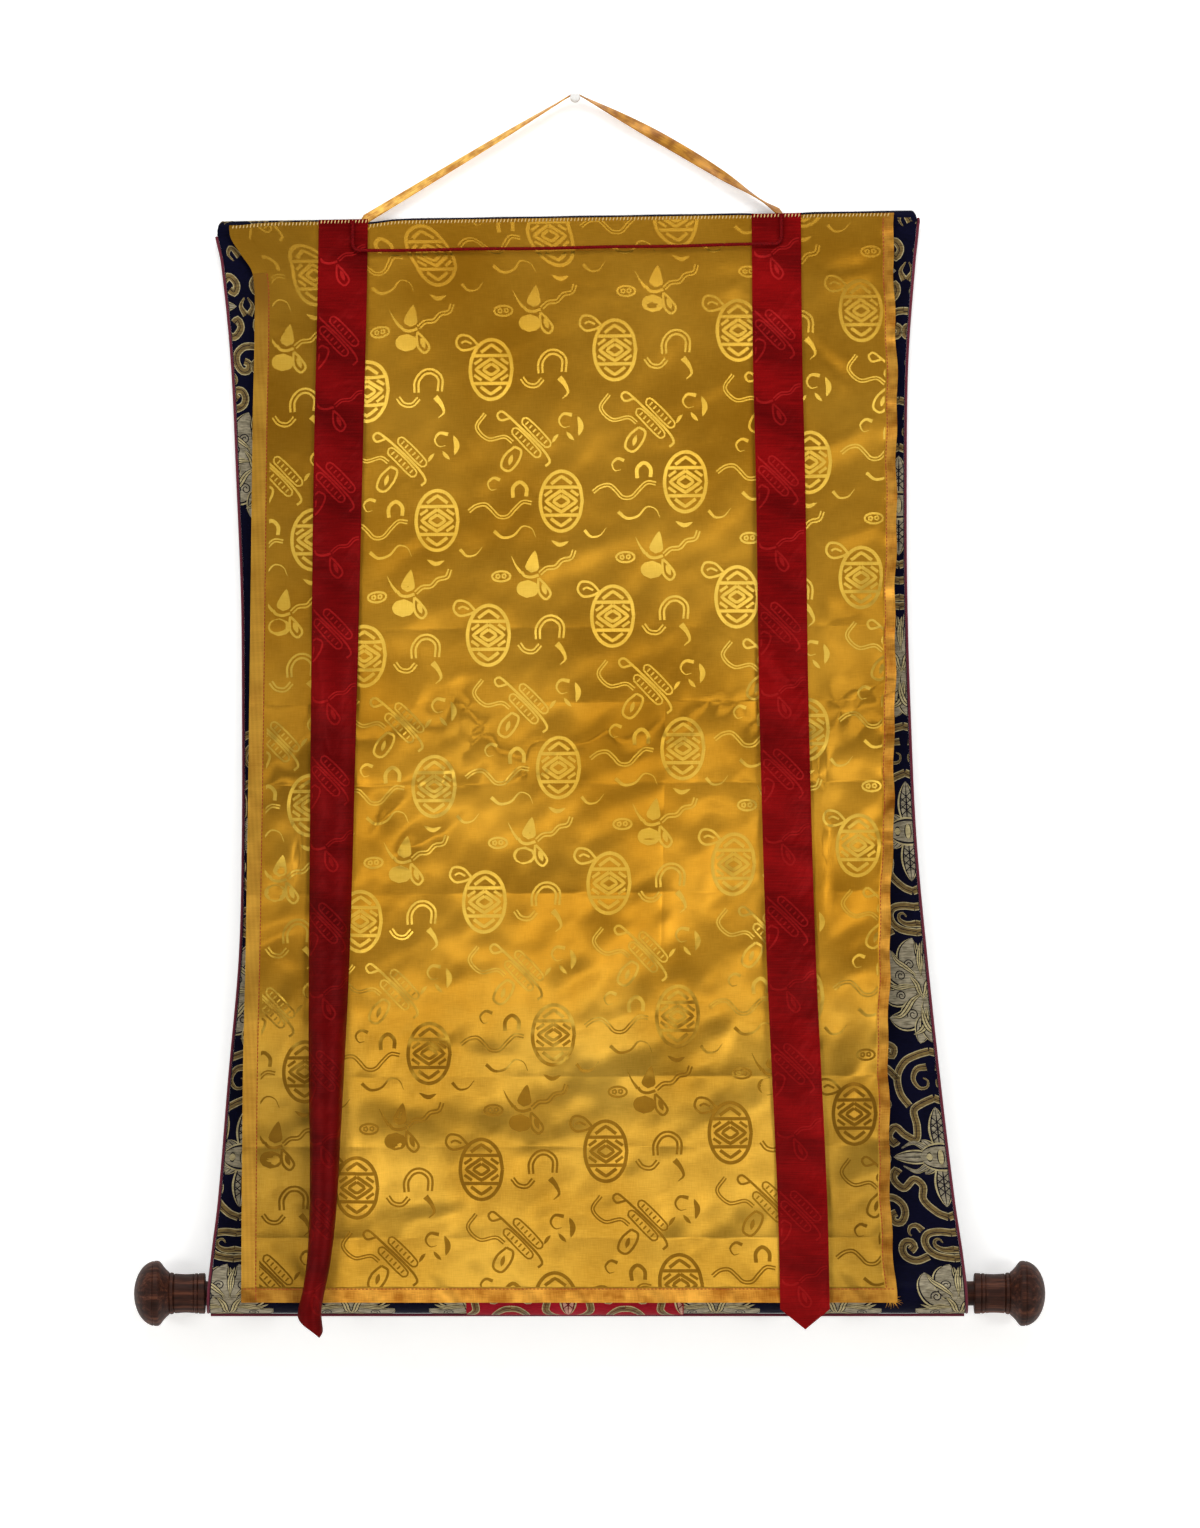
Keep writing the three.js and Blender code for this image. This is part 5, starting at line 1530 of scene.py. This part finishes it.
def piping_silk():
    finish = Finish("piping_silk", {"Specular IOR Level": 0.3, "Sheen Weight": 0.15})
    wale = ((finish.flat(0) * 2.2 + finish.flat(1)) * 4200.0).sine() * 0.5 + 0.5
    fuzz = finish.noise(finish.space(), 320.0, 3.0)
    tone = wale * 0.4 + fuzz * 0.6
    return finish.feed(
        Base_Color=tone.tones(*PIPING_TONES),
        Roughness=0.5 + fuzz * 0.25,
        Normal=finish.bump(wale, 0.4, 0.0003),
    )


def side_piping_line(side):
    edge = outline_left if side == "left" else outline_right
    inward = PIPING_R if side == "left" else -PIPING_R
    z = mix(PIPING_TOP[side], SEAM_Z + ABOVE_SEAM, np.linspace(0, 1, SIDE_ROWS) ** ROW_POWER)
    body = np.stack([edge(z) + inward, mount_depth(edge(z), z), z], 1)
    turn = np.linspace(TANGENT, SIDE_PIPING_TURN, TURN_ROWS)
    y, low = DOWEL_Y - SLEEVE_R * np.sin(turn), DOWEL_Z + SLEEVE_R * np.cos(turn)
    round_foot = np.stack([edge(np.minimum(low, SEAM_Z)) + inward, y, low], 1)
    return np.concatenate([body, round_foot])


def foot_piping_line():
    radius = SLEEVE_R + MOUNT_THICK / 2 + CLEAR + PIPING_R
    y = DOWEL_Y - radius * math.sin(FOOT_PIPING_TURN)
    z = DOWEL_Z + radius * math.cos(FOOT_PIPING_TURN)
    x = np.linspace(outline_left(z) + PIPING_ROOM, outline_right(z) - PIPING_ROOM, FOOT_PIPING_ROWS)
    return np.stack([x, np.full_like(x, y), np.full_like(x, z)], 1)


piping_finish = piping_silk()
for side in ("left", "right", "foot"):
    line = foot_piping_line() if side == "foot" else side_piping_line(side)
    shape = tube(round_rings(line, PIPING_R, PIPING_SIDES), run_length(line), 2 * math.pi * PIPING_R)
    piece("piping_cord_" + side, shape, [piping_finish], "maroon_piping", "piping_" + side)

# %% [markdown]
# Two crimson ribbons hang over the veil. The right one lies nearly flat. The left one rolls up on
# the way down into a long tube with a pointed tip. Their cross-section is an arc whose bend, in
# degrees, comes from a table, and soft swells along the way keep them from looking ironed.

# %% Ribbons
RIBBON_WIDTH, RIBBON_POINT, RIBBON_THICK = 44.5, 18.0, 1.2
RIBBON_GAP = 0.9
RIBBON_SWELLS = table(
    "z half height",
    (-225, 34, 0.9), (-300, 30, 1.1), (-395, 36, 1.2), (-470, 26, 1.0), (-540, 30, 1.4), (-622, 26, 1.3),
    (-684, 20, 1.2), (-765, 30, 1.6), (-858, 32, 1.7), (-925, 22, 1.3), (-998, 28, 1.6),
)
SWELL_LEAN = 0.45
LEFT_RIBBON = table(
    "z x curl turn",
    (-111, -209, 0, 0), (-183, -210, 10, 0), (-345, -213.5, 42, 0), (-560, -217, 90, 0),
    (-775, -220.5, 131, 4), (-885, -223, 172, 8), (-993, -225, 222, 16), (-1047, -229, 256, 26),
    (-1076, -234, 276, 34),
    (-1092, -237, 262, 40), (-1115, -235.5, 236, 44),
)
RIGHT_RIBBON = table(
    "z x curl turn",
    (-105.5, 181.5, 0, 0), (-237, 182.5, 8, 0), (-345, 185, 14, 2), (-560, 188, 18, 3), (-775, 194, 22, 4),
    (-885, 199, 14, 2), (-993, 204, 18, -3), (-1109, 206.5, 22, -4),
)


LEAST_BEND, SECTION_POINTS, BED_POINTS = 0.02, 41, 7
GAP_RUN, TILT_RUN, SHARE_STEP = 0.12, 30.0, 0.01


def ribbon_surface(rows):
    middle_x, curl, turn = (curve(rows, "z", value) for value in ("x", "curl", "turn"))
    top, foot = rows["z"].max(), rows["z"].min()

    def section(share, bend, spin):
        radius = RIBBON_WIDTH / bend
        angle = share * bend
        across, forward = radius * np.sin(angle), radius * (np.cos(angle) - 1)
        return across * np.cos(spin) + forward * np.sin(spin), forward * np.cos(spin) - across * np.sin(spin)

    def place(across, up):
        bend = np.maximum(np.radians(curl(up)), LEAST_BEND)
        spin = np.radians(turn(up))
        shares = np.linspace(-0.5, 0.5, SECTION_POINTS)
        all_across, all_forward = section(shares[None, :], bend[:, None], spin[:, None])
        lowest = all_forward.min(axis=1)
        centre = (all_across.min(axis=1) + all_across.max(axis=1)) / 2
        beds = middle_x(up)[:, None] + np.linspace(-0.5, 0.5, BED_POINTS)[None, :] * RIBBON_WIDTH
        bed = veil_depth(beds, up[:, None]).min(axis=1)
        gap = mix(CLEAR, RIBBON_GAP, ease(top - up, 0, GAP_RUN * (top - foot)))
        seat = bed - VEIL_THICK / 2 - gap - RIBBON_THICK / 2

        def at(share):
            side, forward = section(share, bend, spin)
            tilt = TOP_SLOPE * side * (1 - ease(top - up, 0, TILT_RUN))
            swell = 0.0
            slanted = up + SWELL_LEAN * share * RIBBON_WIDTH
            for z, half, height in zip(*RIBBON_SWELLS.values()):
                swell = swell + height * np.exp(-(((slanted - z) / half) ** 2))
            return np.stack([middle_x(up) + side - centre, seat - swell - (forward - lowest), up + tilt], 1)

        share = across / RIBBON_WIDTH
        here = at(share)
        sideways = at(share + SHARE_STEP) - at(share - SHARE_STEP)
        normal = np.cross(sideways, np.array([0.0, 0.0, 1.0]))
        normal /= np.linalg.norm(normal, axis=1)[:, None]
        return here + normal * RIBBON_THICK / 2, normal

    return place, top, foot


FOOT_TO_TOP = (-1.0, -0.4)


def ribbon_silk(name, foot, top, turn):
    """Silk whose pair of tones goes from the first at the foot to the second at the top; where they differ,
    the change is painted shade.
    """
    gloss = {"Metallic": 0.4, "Anisotropic": 0.6, "Specular IOR Level": 0.08}
    finish = Finish(name, {**gloss, "Anisotropic Rotation": turn})
    slub = finish.noise(finish.cloth(40.0, 1000.0), 1.0, 3.0)
    # Broad slanted bands of paler and darker crimson are a painted satin sheen.
    bands = finish.noise(finish.cloth(9.0, 24.0, 20.0), 1.0, 2.0)
    crush = finish.noise(finish.cloth(1.6, 1.0, 35.0), 26.0, 3.0)
    tone = (slub * 0.35 + bands * 0.65).between(0.32, 0.68)
    return finish.feed(
        Base_Color=finish.flat(1).between(*FOOT_TO_TOP).blend(tone.tones(*foot), tone.tones(*top)),
        Roughness=0.38 + slub * 0.15,
        Normal=finish.bump(slub, 0.2, 0.0003, finish.bump(crush, 1.0, 0.003)),
    )


BARS_MOVE, GOURD_MOVE = (-39.0, 102.0), (-50.0, 54.0)
FIGURE_PITCH, FIGURE_LIFT = 132.0, 0.12
FIGURE_SIDE, FIGURE_FOOT, FIGURE_TOP = 2.0, 20.0, 2.0
EDGE_ROLL, EDGE_INNER, EDGE_OUTER, FLAT_FROM = 0.35, 1.6, 0.8, 3.0
RIBBON_COLUMNS, RIBBON_ROWS, TIP_IN, SAME_PLACE = 21, 240, 0.5, 0.01


def ribbon_bm(rows):
    place, top, foot = ribbon_surface(rows)
    half = RIBBON_WIDTH / 2
    edge = [half - EDGE_INNER, half - EDGE_OUTER, half]
    body = np.linspace(FLAT_FROM - half, half - FLAT_FROM, RIBBON_COLUMNS)
    bm = flat_grid([*(-at for at in edge[::-1]), *body, *edge], np.linspace(0, 1, RIBBON_ROWS))
    for vert in bm.verts:
        low = foot + RIBBON_POINT * abs(vert.co.x) / half + TIP_IN
        in_edge = abs(abs(vert.co.x) - (half - EDGE_OUTER)) < SAME_PLACE
        vert.co = (vert.co.x, mix(low, top, vert.co.y), EDGE_ROLL if in_edge else 0.0)
    keep_flat(bm)
    hang(bm, place)
    thicken(bm, RIBBON_THICK)
    return bm


def ribbon_figures_bm(rows):
    place, top, foot = ribbon_surface(rows)
    unit = bmesh.new()
    for figure, move in ((BAR_TIES, BARS_MOVE), (GOURD_TIES, GOURD_MOVE)):
        for width, shape, bands, points in figure:
            stroke(unit, moved(points, *move), width, shape, bands, FIGURE_LIFT)
    for x, y in moved(BAR_PLACES, *BARS_MOVE):
        ribbed_bar(unit, x, y)
    bm = repeat(unit, [(0, z) for z in np.arange(foot - FIGURE_PITCH / 2, top, FIGURE_PITCH)])
    unit.free()
    half = RIBBON_WIDTH / 2 - FIGURE_SIDE
    trim(bm, -half, half, foot + FIGURE_FOOT, top - FIGURE_TOP)
    keep_flat(bm)
    hang(bm, place)
    return bm


STITCH_IN, STITCH_DOWN = 2.0, 0.4


def ribbon_stitches_bm(rows):
    """Overcast stitches across the top of a ribbon."""
    place, top, _ = ribbon_surface(rows)
    bm = bmesh.new()
    half = RIBBON_WIDTH / 2 - STITCH_IN
    overcast(bm, -half, half, top - STITCH_DOWN)
    keep_flat(bm)
    hang(bm, place)
    return bm


# Both ribbons are one crimson silk. The left one gets darker copies, a painted shade that deepens towards its
# rolled-up foot.
BRIGHT_CRIMSON = ((97, 3, 4), (147, 9, 11))
CALM_CRIMSON, SHADED_CRIMSON = ((90, 2, 3), (132, 7, 9)), ((78, 2, 3), (112, 4, 5))
BRIGHT_FIGURE, SHADED_FIGURE = ((126, 10, 11), (166, 24, 24)), ((96, 5, 6), (130, 12, 12))
RIBBONS = {
    "left": (LEFT_RIBBON, (SHADED_CRIMSON, CALM_CRIMSON), (SHADED_FIGURE, BRIGHT_FIGURE)),
    "right": (RIGHT_RIBBON, (BRIGHT_CRIMSON, BRIGHT_CRIMSON), (BRIGHT_FIGURE, BRIGHT_FIGURE)),
}
for side, (rows, ground_tones, figure_tones) in RIBBONS.items():
    crimson = ribbon_silk("ribbon_" + side, *ground_tones, LEVEL_SHINE)
    crimson_figure = ribbon_silk("figure_" + side, *figure_tones, CROSS_SHINE)
    ribbon = piece("ribbon_cloth_" + side, ribbon_bm(rows), [crimson], "ribbon_silk", "ribbon_" + side)
    figure = piece("ribbon_damask_" + side, ribbon_figures_bm(rows), [crimson_figure], "ribbon_silk")
    stitches = piece("ribbon_stitches_" + side, ribbon_stitches_bm(rows), [pale_thread], "ribbon_silk")
    length = rows["z"].max() - rows["z"].min()
    length * MM

# %% [markdown]
# A thin twisted cord bridles the ribbons: down over the left one, across the veil and up over the
# right one. Three strands are modelled as lobes that turn along the line.

# %% Veil cord
CORD_R, CORD_GAP = 1.6, 1.2
CORD_X = {"left": -200.5, "right": 186.0}
CORD_START, CORD_DROP, CORD_CORNER, CORD_INSET = 1.0, 27.0, 6.0, 10.0
LEG_STEPS, CORNER_STEPS, ACROSS_STEPS = 14, 9, 260
CORD_SAG, CORD_WAVE, CORD_WAVE_PITCH = 0.5, 0.25, 19.0
CORD_SIDES, CORD_STRANDS, CORD_LAY, STRAND_DEPTH = 12, 3, 9.0, 0.25


def cord_line():
    def depth(z):
        return veil_depth(CORD_X["right"], z) - VEIL_THICK / 2 - CLEAR - RIBBON_THICK - CORD_R - CORD_GAP

    tops = {side: float(top_z(x)) - CORD_START for side, x in CORD_X.items()}
    lows = {side: top - CORD_DROP for side, top in tops.items()}
    legs = {}
    for side, inward in (("left", 1), ("right", -1)):
        z = np.linspace(tops[side], lows[side] + 2 * CORD_CORNER, LEG_STEPS)
        down = np.stack([np.full_like(z, CORD_X[side]), depth(z), z], 1)
        angle = np.linspace(0, math.pi / 2, CORNER_STEPS)
        x = CORD_X[side] + inward * CORD_CORNER * (1 - np.cos(angle))
        low = lows[side] + CORD_CORNER * (1 - np.sin(angle))
        legs[side] = np.concatenate([down, np.stack([x, np.full_like(x, depth(lows[side])), low], 1)])
    share = np.linspace(0, 1, ACROSS_STEPS)
    x = mix(CORD_X["left"] + CORD_INSET, CORD_X["right"] - CORD_INSET, share)
    z = mix(lows["left"], lows["right"], share) - CORD_SAG * np.sin(math.pi * share)
    z = z + CORD_WAVE * np.sin(x / CORD_WAVE_PITCH)
    across = np.stack([x, np.full_like(x, depth(lows["left"])), z], 1)
    return np.concatenate([legs["left"], across, legs["right"][::-1]])


CORD_TONES = ((78, 4, 7), (122, 9, 13))


def cord_silk():
    finish = Finish("cord_silk", {"Specular IOR Level": 0.05})
    fibres = finish.noise(finish.space(), 900.0, 3.0)
    return finish.feed(
        Base_Color=fibres.between(0.3, 0.7).tones(*CORD_TONES),
        Roughness=0.6 + fibres * 0.25,
        Normal=finish.bump(fibres, 0.4, 0.0003),
    )


line = cord_line()
rings = round_rings(line, CORD_R, CORD_SIDES, CORD_STRANDS, CORD_LAY, STRAND_DEPTH)
cord_shape = tube(rings, run_length(line), 2 * math.pi * CORD_R)
piece("bridle_cord", cord_shape, [cord_silk()], "red_cord", "veil_cord")

# %% [markdown]
# The knobs are rosewood and the dowel is plain pale wood. The grain runs along the axis, as it does
# in a blank cut for the lathe, so the noise is drawn out that way and finer across. The dowel keeps
# the frame's own shape and only gets its finish.

# %% Wood finishes
def wood(name, dark, mid, light, rough):
    finish = Finish(name, {"Specular IOR Level": 0.16})
    grain = finish.noise(finish.space((9.0, 260.0, 260.0)), 1.0, 4.0, 0.6)
    pores = finish.noise(finish.space((60.0, 1400.0, 1400.0)), 1.0, 2.0)
    stops = [(0.3, screen(*dark)), (0.52, screen(*mid)), (0.72, screen(*light))]
    tone = finish.wire.add("ValToRGB", {"stops": stops}, {0: grain * 0.8 + pores * 0.2})
    return finish.feed(
        Base_Color=tone,
        Roughness=rough + pores * 0.2,
        Normal=finish.bump(grain * 0.5 + pores * 0.5, 0.15, 0.0004),
    )


rosewood = wood("rosewood", (14, 5, 3), (56, 28, 18), (108, 62, 42), 0.46)
rod_wood = wood("rod_wood", (142, 112, 78), (176, 146, 108), (196, 170, 132), 0.6)
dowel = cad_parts["dowel"]
dowel.data.materials.clear()
dowel.data.materials.append(rod_wood)
print("wood:", rosewood.name, rod_wood.name)

# %% [markdown]
# The knobs are turned. A profile of a few points is spun round the dowel's axis: collars and grooves
# by the cloth, a waist, and a round cap. A spigot reaches into the dowel's bore, as it does on the
# real one.

# %% Turned knobs
KNOB_START = {"left": -332.6, "right": 359.0}
KNOB_LENGTH, SPIGOT_R, SPIGOT_DEPTH = 64.0, 11.0, 22.0
KNOB_PROFILE = [
    (0, 17.2), (0.4, 18.1), (0.9, 18.3), (5.3, 18.2), (5.8, 17.7), (6.1, 17.2), (6.4, 17.7), (6.9, 18.1),
    (9.1, 18.0), (9.6, 17.5), (9.9, 17.0), (10.2, 17.5), (10.7, 17.7), (14, 17.4), (18, 17.3), (22, 17.5),
    (26.8, 17.9), (27.4, 17.4), (27.8, 16.9), (28.2, 17.8), (28.7, 18.6), (30.9, 18.9), (31.4, 18.5),
    (31.7, 18.1), (32.1, 18.6), (32.6, 19.4), (35, 21.5), (37.4, 24.2), (39, 26.4), (40.4, 28.1),
    (41.5, 29.0), (42.6, 29.3), (44, 29.35), (45.4, 29.3), (45.9, 28.8), (46.2, 28.6), (46.5, 28.8),
    (46.9, 29.1),
]
DOME_MIDDLE, DOME_ROWS, KNOB_STEPS = 44.0, 16, 72
DOWEL_IN, TURNED_MERGE, TURNED_SHARP = 4.0, 0.005, 34


def turned(profile, axis, steps):
    """Spins rows of distance along the axis and radius into a closed solid."""
    bm = bmesh.new()
    side = Vector((0, 0, 1))
    verts = [bm.verts.new(axis * along + side * radius) for along, radius in profile]
    edges = [bm.edges.new(pair) for pair in zip(verts, verts[1:])]
    full = {"axis": axis, "angle": 2 * math.pi, "steps": steps, "use_merge": True}
    bmesh.ops.spin(bm, geom=verts + edges, cent=(0, 0, 0), **full)
    bmesh.ops.remove_doubles(bm, verts=bm.verts, dist=TURNED_MERGE)
    bmesh.ops.recalc_face_normals(bm, faces=bm.faces)
    return bm


def knob_rows(spigot):
    reach = KNOB_LENGTH - DOME_MIDDLE
    rim_at, rim = KNOB_PROFILE[-1]
    bulge = rim / math.sqrt(1 - ((rim_at - DOME_MIDDLE) / reach) ** 2)
    dome = []
    for share in np.linspace(0, 1, DOME_ROWS)[1:]:
        along = KNOB_LENGTH - (KNOB_LENGTH - rim_at) * (1 - share) ** 2
        dome.append((along, bulge * math.sqrt(max(0.0, 1 - ((along - DOME_MIDDLE) / reach) ** 2))))
    return [(-spigot, 0), (-spigot, SPIGOT_R), (0, SPIGOT_R), *KNOB_PROFILE, *dome]


for side, sign in (("left", -1), ("right", 1)):
    edge = outline_left if side == "left" else outline_right
    spigot = SPIGOT_DEPTH - CLEAR + abs(KNOB_START[side] - (float(edge(DOWEL_Z)) - sign * DOWEL_IN))
    bm = turned(knob_rows(spigot), Vector((sign, 0, 0)), KNOB_STEPS)
    bmesh.ops.scale(bm, vec=(MM, MM, MM), verts=bm.verts)
    bmesh.ops.translate(bm, vec=Vector((KNOB_START[side], DOWEL_Y, DOWEL_Z)) * MM, verts=bm.verts)
    piece("turned_knob_" + side, bm, [rosewood], "rosewood", "knob_" + side, sharp=TURNED_SHARP)

# %% [markdown]
# The wall pin is a small white enamelled peg: a collar on the wall, a neck for the loop and a round
# head. It is spun in the same way about the y axis.

# %% Wall pin
PIN_PROFILE = [
    (0, 0), (0, 4.2), (0.4, 4.6), (1.5, 4.6), (1.9, 4.3), (2.6, 2.3), (12.6, 2.3), (13.1, 3.6), (13.6, 4.3),
    (14.4, 4.4), (15.6, 4.4), (16.2, 4.1), (16.7, 3.2), (16.9, 2.0), (17, 0),
]
PIN_STEPS = 48
ENAMEL_TONES = ((214, 212, 208), (240, 239, 236))


def enamel():
    finish = Finish("pin_enamel", {"Coat Weight": 0.3})
    speckle = finish.noise(finish.space(), 700.0)
    return finish.feed(
        Base_Color=speckle.tones(*ENAMEL_TONES),
        Roughness=0.28 + speckle * 0.2,
    )


bm = turned(PIN_PROFILE, Vector(FRONT), PIN_STEPS)
bmesh.ops.scale(bm, vec=(MM, MM, MM), verts=bm.verts)
piece("enamel_pin", bm, [enamel()], "pin", "wall_pin", sharp=TURNED_SHARP)
